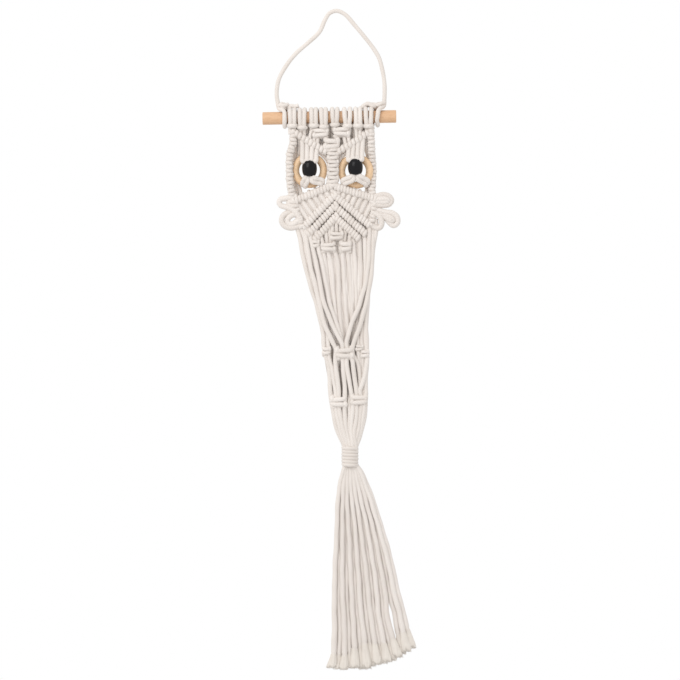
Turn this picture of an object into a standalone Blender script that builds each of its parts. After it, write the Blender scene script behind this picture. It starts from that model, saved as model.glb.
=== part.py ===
"""Macrame owl wall hanging on a wooden dowel.

Eight doubled cotton cords hang from a birch dowel by lark's heads.  Their sixteen ends are
knotted into an owl: a brow of slanting hitches, a chain of half hitches at each side, a
sinnet of square knots for the nose, a wooden ring and a black bead for each eye, four
nested chevrons of double half hitches for the breast, looped wings at the sides, and a tail
drawn together by a gathering wrap and left to hang as a fringe.

Sizes are in millimetres.  X runs along the dowel to the right, Y away from the viewer and
Z up.  The origin is the inside of the hanging loop, where a nail or a hook carries it.
"""
import math

import bmesh
import bpy
import numpy as np
from mathutils import Matrix, Vector

MM = 0.001                     # every mesh is written in metres
GAP = 0.3                      # clearance between two pieces that touch

# ---------------------------------------------------------------- driving sizes
CORD = 4.2                     # braided cotton cord, diameter
CORD_R = CORD / 2
HEX_R = CORD_R * 1.1           # corner radius of a six-sided tube of the same section

DOWEL_DIAMETER = 12.7          # half-inch dowel
DOWEL_LEFT, DOWEL_RIGHT = -76.7, 57.1
DOWEL_Z = -104.5
DOWEL_EDGE = 0.5               # rounded edge at each sawn end

RING_OUTSIDE, RING_BAND = 35.4, 6.7
RING_Y = -0.8
BEAD_WIDTH, BEAD_HEIGHT, BEAD_BORE = 14.2, 15.8, 8.0
BEAD_Y = -7.8

SHEET_Y = -4.5                 # mid-plane of the knotted cloth
HITCH = 4.3                    # radius over a row of half hitches
HITCH_PITCH = 3.2              # one turn of a half hitch along its cord

WRAP_RADIUS, WRAP_TURNS = 8.7, 5
WRAP_TOP = (5.7, -432.6)
WRAP_BOTTOM = (5.3, -455.6)
WRAP_GROOVE = 0.9              # depth of the groove between two turns of the wrap


# ---------------------------------------------------------------- helpers
def clear_scene():
    """Remove what the default file holds."""
    for item in list(bpy.data.objects):
        bpy.data.objects.remove(item, do_unlink=True)


def collection(name):
    """A new collection linked to the scene."""
    made = bpy.data.collections.new(name)
    bpy.context.scene.collection.children.link(made)
    return made


def material(name, colour, roughness):
    """A plain Principled material."""
    made = bpy.data.materials.new(name)
    made.use_nodes = True
    shader = made.node_tree.nodes["Principled BSDF"]
    shader.inputs["Base Color"].default_value = (*colour, 1.0)
    shader.inputs["Roughness"].default_value = roughness
    shader.inputs["Metallic"].default_value = 0.0
    return made


def add_object(name, mesh, finish, home):
    """One named object for a finished mesh, shaded smooth up to 40 degrees."""
    mesh.name = name
    mesh.materials.clear()
    mesh.materials.append(finish)
    mesh.shade_smooth()
    mesh.set_sharp_from_angle(angle=math.radians(40))
    made = bpy.data.objects.new(name, mesh)
    home.objects.link(made)
    return made


def evaluated_mesh(item):
    """The mesh that an object shows with its modifiers, in world space."""
    graph = bpy.context.evaluated_depsgraph_get()
    mesh = bpy.data.meshes.new_from_object(item.evaluated_get(graph))
    mesh.transform(item.matrix_world)
    return mesh


def weld(mesh, distance=1e-6):
    """Join points that coincide, such as those where a cap meets its tube."""
    work = bmesh.new()
    work.from_mesh(mesh)
    bmesh.ops.remove_doubles(work, verts=work.verts, dist=distance)
    bmesh.ops.recalc_face_normals(work, faces=work.faces)
    work.to_mesh(mesh)
    work.free()
    return mesh


def smooth(route, spacing):
    """Points about `spacing` apart on a Catmull-Rom curve through the route."""
    points = [Vector(p) for p in route]
    ends = [2 * points[0] - points[1]] + points + [2 * points[-1] - points[-2]]
    dense = []
    for a, b, c, d in zip(ends, ends[1:], ends[2:], ends[3:]):
        for step in range(16):
            t = step / 16
            dense.append(0.5 * ((2 * b) + (c - a) * t + (2 * a - 5 * b + 4 * c - d) * t * t
                                + (3 * b - a - 3 * c + d) * t ** 3))
    dense.append(points[-1])
    along = [0.0]
    for p, q in zip(dense, dense[1:]):
        along.append(along[-1] + (q - p).length)
    count = max(1, round(along[-1] / spacing))
    return resample(dense, along, [along[-1] * k / count for k in range(count + 1)])


def resample(dense, along, wanted):
    """Points of a dense line at the wanted distances along it."""
    table = np.array([tuple(p) for p in dense])
    return [Vector([float(np.interp(w, along, table[:, axis])) for axis in range(3)])
            for w in wanted]


def tube(points, radii, sides=6):
    """A closed tube along points, with its own radius at each, from a bevelled curve."""
    curve = bpy.data.curves.new("tube", "CURVE")
    curve.dimensions = "3D"
    curve.bevel_depth = MM
    curve.bevel_resolution = (sides - 4) // 2
    curve.use_fill_caps = True
    curve.twist_mode = "MINIMUM"
    spline = curve.splines.new("POLY")
    spline.points.add(len(points) - 1)
    for knot, point, radius in zip(spline.points, points, radii):
        knot.co = (*(Vector(point) * MM), 1.0)
        knot.radius = radius
    item = bpy.data.objects.new("tube", curve)
    bpy.context.scene.collection.objects.link(item)
    bpy.context.view_layer.update()
    mesh = weld(evaluated_mesh(item))
    bpy.data.objects.remove(item, do_unlink=True)
    return mesh


def strand(route, radius=HEX_R, spacing=11.0, sides=6):
    """A length of plain cord."""
    points = smooth(route, spacing)
    return tube(points, [radius] * len(points), sides)


def ridged(route, crest, pitch, groove=0.22, wide=1.0, deep=1.0, sides=6):
    """A row of hitches or knots: a tube whose radius swells once for each turn.

    `groove` is the share of the radius lost between two turns, and `wide` and `deep` stretch
    the row along X and Y about its own middle.
    """
    line = smooth(route, 1.0)
    length = sum((q - p).length for p, q in zip(line, line[1:]))
    turns = max(1, round(length / pitch))
    points = smooth(route, length / (2 * turns))
    radii = [crest * (1 - groove) if k % 2 == 0 else crest for k in range(len(points))]
    mesh = tube(points, radii, sides)
    middle = sum(points, Vector()) / len(points) * MM
    mesh.transform(Matrix.Translation(middle) @ Matrix.Diagonal((wide, deep, 1, 1))
                   @ Matrix.Translation(-middle))
    return mesh


def square_knot(x, y, z, width, depth, height):
    """One square knot: two crossing bars, one over the other, on a pair of core cords."""
    crest = height / 4 + 0.9
    return ridged([(x, y, z + height / 2), (x, y, z - height / 2)], crest, height / 2,
                  groove=0.34, wide=width / 2 / crest, deep=depth / 2 / crest, sides=8)


def drop_pockets(mesh, largest=3.0):
    """Delete the closed pockets trapped between cords, which are all a few millimetres wide."""
    work = bmesh.new()
    work.from_mesh(mesh)
    bmesh.ops.dissolve_degenerate(work, dist=2e-6, edges=work.edges)
    bmesh.ops.triangulate(work, faces=work.faces)
    unseen, islands = set(work.verts), []
    while unseen:
        front, island = [unseen.pop()], []
        while front:
            point = front.pop()
            island.append(point)
            near = {edge.other_vert(point) for edge in point.link_edges} & unseen
            unseen -= near
            front.extend(near)
        islands.append(island)
    islands.sort(key=len)
    for island in islands[:-1]:
        span = max((p.co - island[0].co).length for p in island) / MM
        if span > largest:
            place = [round(c / MM, 1) for c in island[0].co]
            raise ValueError("a cord %.1f mm long is fused to nothing at %s" % (span, place))
        bmesh.ops.delete(work, geom=island, context="VERTS")
    work.to_mesh(mesh)
    work.free()


def fused(meshes, keep=1.0):
    """The union of closed meshes that overlap their neighbours, as one closed mesh.

    `keep` is the share of its triangles that is left when the slivers along the seams and the
    flat stretches are thinned.
    """
    base = bpy.data.objects.new("base", meshes[0])
    bpy.context.scene.collection.objects.link(base)
    for mesh in meshes[1:]:
        other = bpy.data.objects.new("other", mesh)
        bpy.context.scene.collection.objects.link(other)
        union = base.modifiers.new("fuse", "BOOLEAN")
        union.operation = "UNION"
        union.solver = "MANIFOLD"
        union.object = other
        bpy.context.view_layer.update()
        joined = evaluated_mesh(base)
        base.modifiers.clear()
        base.data = joined
        bpy.data.objects.remove(other, do_unlink=True)
    drop_pockets(base.data)
    if keep < 1:
        thin = base.modifiers.new("thin", "DECIMATE")
        thin.ratio = keep
        thin.use_collapse_triangulate = True
    bpy.context.view_layer.update()
    mesh = evaluated_mesh(base)
    bpy.data.objects.remove(base, do_unlink=True)
    return mesh


# ---------------------------------------------------------------- dowel, rings and beads
def dowel(finish, home):
    """The square-cut birch dowel that carries everything."""
    length = (DOWEL_RIGHT - DOWEL_LEFT) * MM
    bpy.ops.mesh.primitive_cylinder_add(vertices=32, radius=DOWEL_DIAMETER / 2 * MM, depth=length)
    item = bpy.context.object
    item.matrix_world = (Matrix.Translation(Vector(((DOWEL_LEFT + DOWEL_RIGHT) / 2, 0, DOWEL_Z)) * MM)
                         @ Matrix.Rotation(math.pi / 2, 4, "Y"))
    edge = item.modifiers.new("edge", "BEVEL")
    edge.width = DOWEL_EDGE * MM
    edge.segments = 1
    edge.limit_method = "ANGLE"
    edge.angle_limit = math.radians(60)
    bpy.context.view_layer.update()
    mesh = evaluated_mesh(item)
    bpy.data.objects.remove(item, do_unlink=True)
    return add_object("dowel", mesh, finish, home)


# The eyes: the ring's middle in the photographed face of the owl, and the bead's inside it.
EYES = (
    # name, ring x, ring z, bead x, bead z
    ("left", -30.4, -157.3, -30.4, -155.8),
    ("right", 15.6, -158.8, 15.4, -155.0),
)


def eye_ring(name, x, z, finish, home):
    """A turned wooden ring of round section."""
    tube_radius = RING_BAND / 2
    bpy.ops.mesh.primitive_torus_add(
        major_radius=(RING_OUTSIDE / 2 - tube_radius) * MM, minor_radius=tube_radius * MM,
        major_segments=28, minor_segments=8)
    item = bpy.context.object
    item.matrix_world = (Matrix.Translation(Vector((x, RING_Y, z)) * MM)
                         @ Matrix.Rotation(math.pi / 2, 4, "X"))
    bpy.context.view_layer.update()
    mesh = evaluated_mesh(item)
    bpy.data.objects.remove(item, do_unlink=True)
    return add_object(name, mesh, finish, home)


def eye_bead(name, x, z, finish, home):
    """A barrel bead: an outline that bulges between two flat ends, turned about its bore."""
    steps = 8
    mouth = BEAD_BORE / 2
    outline = [(mouth, BEAD_HEIGHT / 2), (mouth, -BEAD_HEIGHT / 2)]
    for k in range(steps + 1):
        angle = math.radians(-68 + 136 * k / steps)
        outline.append((BEAD_WIDTH / 2 * math.cos(angle) ** 0.55,
                        BEAD_HEIGHT / 2 * math.sin(angle) / math.sin(math.radians(68))))
    work = bmesh.new()
    points = [work.verts.new(Vector((r, 0, h)) * MM) for r, h in outline]
    edges = [work.edges.new(pair) for pair in zip(points, points[1:] + points[:1])]
    bmesh.ops.spin(work, geom=points + edges, axis=(0, 0, 1), cent=(0, 0, 0), steps=20,
                   angle=2 * math.pi)
    bmesh.ops.remove_doubles(work, verts=work.verts, dist=1e-6)
    bmesh.ops.recalc_face_normals(work, faces=work.faces)
    mesh = bpy.data.meshes.new(name)
    work.to_mesh(mesh)
    work.free()
    mesh.transform(Matrix.Translation(Vector((x, BEAD_Y, z)) * MM))
    return add_object(name, mesh, finish, home)


# ---------------------------------------------------------------- hanging cord
# The free loop's route, from the left knot over the nail to the right knot: x, y, z.
LOOP_ROUTE = (
    (-61.2, -1.0, -88.5), (-62.2, -0.8, -81.0), (-60.1, -0.5, -66.6), (-53.3, 0.0, -53.7),
    (-43.1, 0.3, -40.8), (-30.0, 0.5, -29.5), (-18.4, 0.5, -18.7), (-12.6, 0.3, -6.8),
    (-8.0, 0.1, -0.2), (-0.7, 0.0, 2.1), (7.5, 0.1, -1.6), (17.3, 0.3, -12.8),
    (27.1, 0.5, -24.9), (35.4, 0.5, -36.1), (40.8, 0.3, -45.6), (44.1, 0.0, -58.2),
    (45.9, -0.5, -71.2), (45.9, -0.8, -81.0), (45.5, -1.0, -88.6),
)
LOOP_SPACING = 9.5


def hanging_cord(finish, home):
    """The loop of cord above the dowel."""
    points = smooth(LOOP_ROUTE, LOOP_SPACING)
    mesh = tube(points, [CORD_R] * len(points), sides=8)
    return add_object("hanging_cord", mesh, finish, home)


# Each hanger: one turn round the dowel at x, then an overhand knot that lies on the turns.
# Lumps of the knot, from the loop to the cut tail: x, y, radius.
HANGERS = (
    ("left", -54.6, ((-60.4, -1.0, 2.4), (-55.4, -3.0, 2.9), (-51.4, 0.6, 2.7),
                     (-47.4, -2.2, 2.4), (-42.4, -1.6, 2.0))),
    ("right", 38.0, ((45.4, -1.0, 2.4), (41.0, -1.4, 2.4), (36.2, 0.2, 2.8),
                     (31.4, -2.2, 2.7), (26.6, 0.0, 2.7), (22.4, -1.2, 2.2))),
)
TURN_SECTION = 1.5             # flattened cord where it grips the dowel
TURN_SIDES = 10
TURN_CENTRE = DOWEL_DIAMETER / 2 / math.cos(math.pi / TURN_SIDES) + GAP + TURN_SECTION
TURNS_TOP = DOWEL_Z + TURN_CENTRE + TURN_SECTION


def turn_round_dowel(x, wide=1.38):
    """A closed ring of flattened cord round the dowel."""
    bpy.ops.mesh.primitive_torus_add(
        major_radius=TURN_CENTRE * MM, minor_radius=TURN_SECTION * MM,
        major_segments=TURN_SIDES, minor_segments=6)
    item = bpy.context.object
    item.matrix_world = (Matrix.Translation(Vector((x, 0, DOWEL_Z)) * MM)
                         @ Matrix.Diagonal((wide, 1, 1, 1)) @ Matrix.Rotation(math.pi / 2, 4, "Y"))
    bpy.context.view_layer.update()
    mesh = evaluated_mesh(item)
    bpy.data.objects.remove(item, do_unlink=True)
    return mesh


def hanger_knot(name, x, lumps, finish, home):
    """The knot that ties the hanging cord to the dowel, with its cut tail."""
    points = [(lump_x, lump_y, TURNS_TOP + GAP + radius) for lump_x, lump_y, radius in lumps]
    knot = tube(points, [lump[2] for lump in lumps], sides=8)
    foot = tube([(x, -0.5, TURNS_TOP - TURN_SECTION), (x, -1.4, TURNS_TOP + 3.0)], [2.0, 2.0], 8)
    return add_object(name, fused([turn_round_dowel(x), foot, knot]), finish, home)


# ---------------------------------------------------------------- the knotted panel
# Lark's heads, left to right: middle, half the pitch of the pair, height of the front bar.
# The bar lies over the feet of both turns, and the two ends hang behind it.
LARKS_HEADS = (
    (-46.9, 1.7, -112.9), (-36.9, 1.8, -114.2), (-25.4, 1.9, -113.5), (-15.5, 2.0, -114.2),
    (-4.2, 1.9, -113.0), (8.2, 2.7, -114.0), (18.8, 2.0, -113.8), (29.3, 2.8, -114.8),
)
BAR_Y = -7.9
HANG_Y = -4.4
BAR_OVERHANG = 2.0             # how far the bar reaches past the middle of each turn


def larks_head(x, half, bar_z):
    """Two turns over the dowel, held by a bar of the same cord across their feet."""
    reach = half + BAR_OVERHANG
    bar = [(x - reach, -2.6, bar_z + 0.6), (x - reach + 0.6, -6.4, bar_z), (x, BAR_Y, bar_z - 0.2),
           (x + reach - 0.6, -6.4, bar_z), (x + reach, -2.6, bar_z + 0.6)]
    pieces = [turn_round_dowel(x - half), turn_round_dowel(x + half)]
    pieces.append(tube(bar, [1.5, 2.0, 2.2, 2.0, 1.5]))
    for side in (-half, half):
        pieces.append(tube([(x + side, HANG_Y, bar_z + 1.4), (x + side, HANG_Y, bar_z - 3.6)],
                           [HEX_R, HEX_R]))
    return pieces


# Rows of half hitches: name, radius, pitch, then the two ends as x, z.
BARS = (
    ("brow_left", 3.9, HITCH_PITCH, (-48.6, -117.0), (-16.7, -141.3)),
    ("brow_right", 3.9, HITCH_PITCH, (33.7, -118.0), (0.3, -140.5)),
    ("breast_0_left", HITCH, HITCH_PITCH, (-8.2, -171.4), (-50.0, -188.7)),
    ("breast_0_right", HITCH, HITCH_PITCH, (-5.0, -174.3), (36.6, -187.5)),
    ("breast_1_left", HITCH, HITCH_PITCH, (-5.0, -180.4), (-38.2, -215.4)),
    ("breast_1_right", HITCH, HITCH_PITCH, (-5.0, -183.9), (29.1, -213.7)),
    ("breast_2_left", HITCH, HITCH_PITCH, (-4.0, -190.4), (-33.7, -222.0)),
    ("breast_2_right", HITCH, HITCH_PITCH, (-4.0, -195.6), (25.0, -222.5)),
    ("breast_3_left", HITCH, HITCH_PITCH, (-3.6, -201.7), (-25.4, -226.8)),
    ("breast_3_right", HITCH, HITCH_PITCH, (-5.0, -205.4), (17.7, -225.6)),
)

# Square knots: name, middle x, y, z, then width, depth, height.
KNOTS = (
    ("brow_a", -18.9, -5.2, -120.2, 15.0, 7.4, 8.4),
    ("brow_b", 2.6, -5.2, -118.8, 16.0, 7.4, 8.4),
    ("brow_c", -8.0, -5.6, -129.6, 17.0, 7.4, 8.4),
    ("belly_c", -4.2, -5.4, -223.5, 14.0, 8.0, 8.2),
    ("belly_d", -13.0, -5.4, -234.3, 14.4, 8.0, 8.6),
    ("belly_e", 3.8, -5.4, -234.6, 12.6, 8.0, 10.0),
    ("belly_l", -25.8, -4.8, -230.6, 8.5, 7.4, 7.6),
    ("wing_left", -46.9, -4.6, -190.8, 10.0, 7.4, 8.0),
    ("row_g", -16.3, -4.8, -338.3, 10.0, 8.6, 9.0),
    ("row_f", 1.4, -7.8, -341.0, 19.4, 9.6, 12.2),
    ("row_h", 19.0, -5.0, -339.4, 14.8, 9.4, 10.6),
    ("row_i", -4.9, -6.0, -389.3, 17.4, 10.0, 11.4),
    ("row_j", 15.4, -6.0, -387.6, 17.8, 10.0, 10.8),
)

# Chains of half hitches at the sides of the head and the sinnet of the nose.
CHAIN_PITCH, CHAIN_RADIUS = 4.6, 3.7
CHAIN_LEFT = ((-47.0, -4.6, -119.0), (-48.3, -4.6, -131.8), (-50.9, -4.6, -139.0),
              (-51.8, -4.8, -156.7), (-50.9, -4.6, -174.7), (-48.3, -4.6, -184.8),
              (-47.2, -4.6, -193.0))
CHAIN_RIGHT = ((31.4, -4.4, -120.0), (32.0, -3.2, -134.0), (32.9, 2.2, -146.0),
               (33.7, 5.4, -158.0), (32.9, 2.4, -170.0), (31.9, -3.2, -181.0),
               (31.8, -4.4, -188.0))
NOSE_TOP, NOSE_BOTTOM, NOSE_PITCH = (-6.4, -131.0), (-7.2, -175.0), 3.9
NOSE_WIDTH, NOSE_RADIUS = 11.0, 4.0

# Plain lengths of cord in front view, each from x, z to x, z: brow, nose root, belly.
SHORT_CORDS = (
    (-38.7, -116.0, -39.0, -124.4), (-35.1, -116.0, -35.4, -127.2),
    (-24.6, -122.0, -27.2, -133.4), (-21.4, -123.0, -23.2, -136.4),
    (-15.6, -122.5, -12.4, -128.0), (-1.8, -121.5, -3.6, -128.0),
    (4.4, -121.5, 6.0, -136.7), (8.2, -121.5, 10.8, -133.4),
    (16.7, -116.0, 17.4, -129.0), (20.9, -116.0, 20.8, -126.6),
    (26.5, -116.0, 26.4, -122.9), (-48.6, -116.0, -49.2, -119.0),
    (-45.2, -116.0, -46.6, -123.5), (32.0, -117.0, 32.2, -123.5),
    (-13.4, -132.0, -16.6, -140.4), (-2.6, -132.0, 0.6, -139.6),
    (-8.6, -208.0, -8.6, -221.5), (0.0, -208.0, 0.0, -221.5),
    (-20.4, -221.5, -17.2, -232.5), (-14.6, -214.5, -12.6, -232.0),
    (10.2, -219.0, 7.0, -232.5), (4.0, -214.0, 3.0, -222.0),
)

# Slanting cords that fill the wedge between the first two chevrons of the breast.
FILL_CORDS = 7
FILL_LEAN = 2.0                # how far the top of each lies out from its foot's place

# Four cords over each eye ring: where they leave the brow, then where the pairs below land.
CORDS_PER_EYE = 4
SPREAD_ON_RING, SPREAD_ON_BEAD = 6.3, 4.9   # half the fan where it crosses the ring and the bead
BORE_CLEARANCE = 0.35          # the four cords' common plug inside the bead
EYE_CORDS = (
    # brow x, brow z of the first and last cord; landing x, z of the two pairs below
    ("left", (-36.0, -128.0), (-22.4, -137.6), (-37.6, -182.6), (-16.4, -174.0)),
    ("right", (9.0, -135.2), (22.6, -126.2), (5.2, -177.4), (26.0, -183.2)),
)

# Picot loops of the wings: x, y, z.
WING_LOOPS = (
    ((-48.0, -4.4, -187.4), (-51.9, -4.6, -185.4), (-57.2, -4.6, -183.7), (-61.2, -4.2, -185.2),
     (-62.3, -3.8, -189.2), (-60.4, -3.8, -193.2), (-56.0, -4.6, -195.0), (-50.0, -5.4, -199.0),
     (-45.0, -5.4, -203.6), (-41.6, -5.0, -208.6)),
    ((-46.0, -3.0, -200.4), (-51.6, -3.0, -199.9), (-55.6, -3.4, -200.8), (-58.6, -3.8, -204.2),
     (-58.7, -4.2, -208.6), (-56.2, -4.6, -212.2), (-50.9, -5.0, -215.0), (-44.6, -5.2, -216.4),
     (-38.4, -5.0, -215.0)),
    ((-53.6, -3.4, -205.8), (-50.0, -4.4, -209.8), (-46.4, -5.0, -212.6), (-41.0, -5.0, -213.0)),
    ((33.4, -4.6, -185.4), (38.6, -4.6, -183.0), (44.4, -4.4, -182.5), (49.6, -4.0, -184.0),
     (51.9, -3.8, -188.2), (49.6, -4.0, -192.0), (43.4, -4.6, -192.8), (37.6, -5.0, -195.2),
     (33.6, -5.0, -199.4)),
    ((37.0, -4.8, -184.4), (41.0, -5.4, -187.2), (47.4, -5.4, -188.0), (50.6, -4.6, -188.2)),
    ((33.8, -3.6, -199.4), (38.8, -4.2, -199.6), (44.8, -4.6, -200.2), (51.2, -4.8, -202.6),
     (55.8, -4.6, -206.4), (56.0, -4.4, -211.2), (51.6, -4.2, -212.9), (46.0, -4.4, -209.0),
     (40.6, -4.8, -204.6), (35.0, -5.0, -203.4)),
    ((34.6, -5.4, -200.6), (38.6, -6.2, -205.2), (40.4, -6.2, -211.0), (38.6, -5.6, -214.8),
     (34.0, -5.0, -214.6), (28.6, -5.0, -212.6)),
)
WING_CHAIN_RADIUS, WING_CHAIN_PITCH = 3.7, 4.0
WING_CHAINS = (
    # the diagonal lumps from each wing down to the second chevron
    ((-45.4, -5.0, -194.0), (-42.4, -5.0, -203.0), (-38.6, -5.0, -213.6)),
    ((33.6, -4.8, -188.0), (33.4, -4.8, -200.0), (29.6, -4.8, -212.6)),
)

# The sixteen ends below the breast.  Each hangs from its top to the first row of tail knots,
# bowing sideways half-way down and again lower, then to the second row and into the wrap.
TOP_Y = -4.6
ROW_1_Z, ROW_BETWEEN_Z, ROW_2_Z = -338.6, -364.0, -388.0
TAIL_CORDS = (
    # top x, top z, bow, low bow, row 1 x, y, row 2 x, y, bundle x, y
    (-41.6, -212.0, -1.4, 3.6, -19.6, -4.8, -13.0, -5.4, -4.8, -1.6),
    (-37.6, -217.0, -0.2, 3.2, -16.8, -2.6, -10.8, -2.0, -4.8, 1.6),
    (-32.4, -219.0, 0.0, 2.4, -14.0, -5.0, -7.6, -6.0, -2.4, -4.2),
    (-26.6, -227.0, -2.6, -1.3, -4.6, -7.0, -5.2, -7.0, -0.2, -4.4),
    (-22.4, -228.5, -1.6, -0.8, -1.0, -7.0, 0.4, -6.2, -2.4, -1.4),
    (-16.6, -235.0, 0.2, 0.6, -8.6, -1.2, -6.8, -1.2, -2.4, 1.4),
    (-11.2, -236.0, 0.2, 0.3, -4.2, -0.8, -2.2, -0.8, -2.4, 4.2),
    (-5.0, -226.0, 0.0, 0.0, 0.6, -0.8, 2.8, -0.8, 0.0, 1.4),
    (1.4, -236.0, 0.0, 0.0, 5.0, -0.8, 7.2, -0.8, 0.0, 4.2),
    (7.0, -236.0, 0.2, 0.0, 9.6, -1.2, 10.4, -1.0, 2.4, 4.2),
    (12.6, -222.0, 0.2, 0.1, 13.4, -3.0, 13.6, -1.4, 2.4, 1.4),
    (18.0, -220.0, 0.0, 0.0, 16.8, -5.0, 17.0, -1.4, 4.8, 1.6),
    (23.4, -219.0, -0.6, -0.3, 20.2, -2.8, 19.6, -5.0, 2.4, -1.4),
    (28.0, -212.0, 5.6, 2.8, 4.0, -7.0, 10.2, -6.6, 0.0, -1.4),
    (30.6, -211.0, 6.0, 3.0, 8.0, -7.0, 15.6, -7.2, 2.4, -4.2),
    (32.0, -209.0, -1.0, -0.4, 23.6, -4.4, 23.0, -4.6, 4.8, -1.6),
)
WRAP_Y = -4.2

# Shares of the triangles kept when the cloth is thinned, before and after its lark's heads.
CLOTH_KEEP, HEADS_KEEP = 0.5, 0.94


def flat_route(line, y=SHEET_Y):
    """A route in the plane of the cloth from x, z pairs."""
    return [(x, y, z) for x, z in line]


def eye_cords(name, first, last, land_left, land_right):
    """Cords that cross the ring, run through the bead and part again below it."""
    bead_x, bead_z = next((eye[3], eye[4]) for eye in EYES if eye[0] == name)
    ring_z = next(eye[2] for eye in EYES if eye[0] == name)
    over_ring = RING_Y - RING_BAND / 2 - GAP - HEX_R
    middle = RING_OUTSIDE / 2 - RING_BAND / 2
    mouth = bead_z + BEAD_HEIGHT / 2 + 0.7
    foot = bead_z - BEAD_HEIGHT / 2 - 0.9
    plug = BEAD_BORE / 2 - BORE_CLEARANCE
    pieces = [tube([(bead_x, BEAD_Y, mouth + 0.9), (bead_x, BEAD_Y, foot - 1.4)], [plug] * 2, 10)]
    for k in range(CORDS_PER_EYE):
        share = k / (CORDS_PER_EYE - 1)
        top_x = first[0] + (last[0] - first[0]) * share
        top_z = first[1] + (last[1] - first[1]) * share
        spread = (share - 0.5) * 2
        pieces.append(tube([(top_x, SHEET_Y - 0.6, top_z),
                            (bead_x + spread * SPREAD_ON_RING, over_ring, ring_z + middle),
                            (bead_x + spread * SPREAD_ON_BEAD, BEAD_Y, mouth)], [HEX_R] * 3))
    for land, sign in ((land_left, -1), (land_right, 1)):
        for side in (-1, 1):
            pieces.append(tube([(bead_x + sign * (2.6 + side * 1.4), BEAD_Y, foot),
                                (bead_x * 0.45 + land[0] * 0.55 + side * 2.0, over_ring - 0.2,
                                 foot * 0.42 + land[1] * 0.58),
                                (land[0] + side * 2.2, SHEET_Y - 0.6, land[1])], [HEX_R] * 3))
    return pieces


def fill_cords():
    """The fan of short cords in the wedge between the first two chevrons."""
    rows = {bar[0]: bar[3:] for bar in BARS}
    pieces = []
    for side, lean in (("left", -FILL_LEAN), ("right", FILL_LEAN)):
        upper, lower = rows["breast_0_" + side], rows["breast_1_" + side]
        for k in range(FILL_CORDS):
            share = (k + 1.2) / (FILL_CORDS + 0.6)
            a = Vector(upper[0]).lerp(Vector(upper[1]), share)
            b = Vector(lower[0]).lerp(Vector(lower[1]), share)
            pieces.append(tube([(a.x + lean, SHEET_Y, a.y), (b.x, SHEET_Y, b.y)], [HEX_R] * 2))
    return pieces


def tail_cord(top_x, top_z, bow, low_bow, x1, y1, x2, y2, bundle_x, bundle_y):
    """One end from the breast to the wrap, read from its row of the table."""
    half_z = (top_z + ROW_1_Z) / 2
    wrap_x, wrap_z = WRAP_TOP
    route = [
        (top_x, TOP_Y, top_z),
        (top_x * 0.72 + x1 * 0.28 + bow * 0.9, TOP_Y * 0.6 + y1 * 0.4, top_z * 0.72 + ROW_1_Z * 0.28),
        ((top_x + x1) / 2 + bow, TOP_Y * 0.4 + y1 * 0.6, half_z),
        (top_x * 0.2 + x1 * 0.8 + low_bow, y1, top_z * 0.2 + ROW_1_Z * 0.8),
        (x1, y1, ROW_1_Z),
        ((x1 + x2) / 2 - 0.1 * bundle_x, (y1 + y2) / 2, ROW_BETWEEN_Z),
        (x2, y2, ROW_2_Z),
        (x2 * 0.86 + (wrap_x + bundle_x) * 0.14, y2 * 0.8 + (WRAP_Y + bundle_y) * 0.2, ROW_2_Z - 16),
        (x2 * 0.34 + (wrap_x + bundle_x) * 0.66, y2 * 0.3 + (WRAP_Y + bundle_y) * 0.7, ROW_2_Z - 33),
        (wrap_x + bundle_x, WRAP_Y + bundle_y, wrap_z + 4.0),
        (wrap_x + bundle_x, WRAP_Y + bundle_y, wrap_z + GAP + 0.2),
    ]
    return tube(route, [HEX_R] * 9 + [CORD_R] * 2)


def panel(finish, home):
    """The knotted cloth from the dowel to the wrap, fused at its knots."""
    pieces = []
    for name, crest, pitch, start, end in BARS:
        pieces.append(ridged(flat_route((start, end)), crest, pitch))
    pieces.append(ridged(CHAIN_LEFT, CHAIN_RADIUS, CHAIN_PITCH, groove=0.3))
    pieces.append(ridged(CHAIN_RIGHT, CHAIN_RADIUS, CHAIN_PITCH, groove=0.3))
    nose = flat_route((NOSE_TOP, NOSE_BOTTOM), -5.2)
    pieces.append(ridged(nose, NOSE_RADIUS, NOSE_PITCH, groove=0.24,
                         wide=NOSE_WIDTH / 2 / NOSE_RADIUS, sides=8))
    pieces += [square_knot(*row[1:]) for row in KNOTS]
    for x0, z0, x1, z1 in SHORT_CORDS:
        pieces.append(tube(flat_route(((x0, z0), (x1, z1))), [HEX_R] * 2))
    pieces += fill_cords()
    for row in EYE_CORDS:
        pieces += eye_cords(*row)
    for route in WING_LOOPS:
        pieces.append(strand(route, spacing=4.5))
    for route in WING_CHAINS:
        pieces.append(ridged(route, WING_CHAIN_RADIUS, WING_CHAIN_PITCH))
    for row in TAIL_CORDS:
        pieces.append(tail_cord(*row))
    heads = []
    for row in LARKS_HEADS:
        heads += larks_head(*row)
    cloth = fused(pieces, keep=CLOTH_KEEP)
    return add_object("macrame_panel", fused([cloth] + heads, keep=HEADS_KEEP), finish, home)


# ---------------------------------------------------------------- wrap and fringe
# Edges of the fringe in front view: z, left, right.
FRINGE_EDGES = (
    (-452.0, 0.8, 11.0), (-460.0, -2.4, 16.4), (-468.0, -5.2, 20.4), (-480.0, -7.6, 25.2),
    (-498.0, -9.2, 31.6), (-520.0, -10.9, 38.6), (-548.0, -13.0, 46.4), (-590.0, -14.8, 54.6),
    (-616.0, -14.4, 60.0), (-636.0, -15.8, 67.6), (-658.0, -21.5, 76.0),
)
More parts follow.
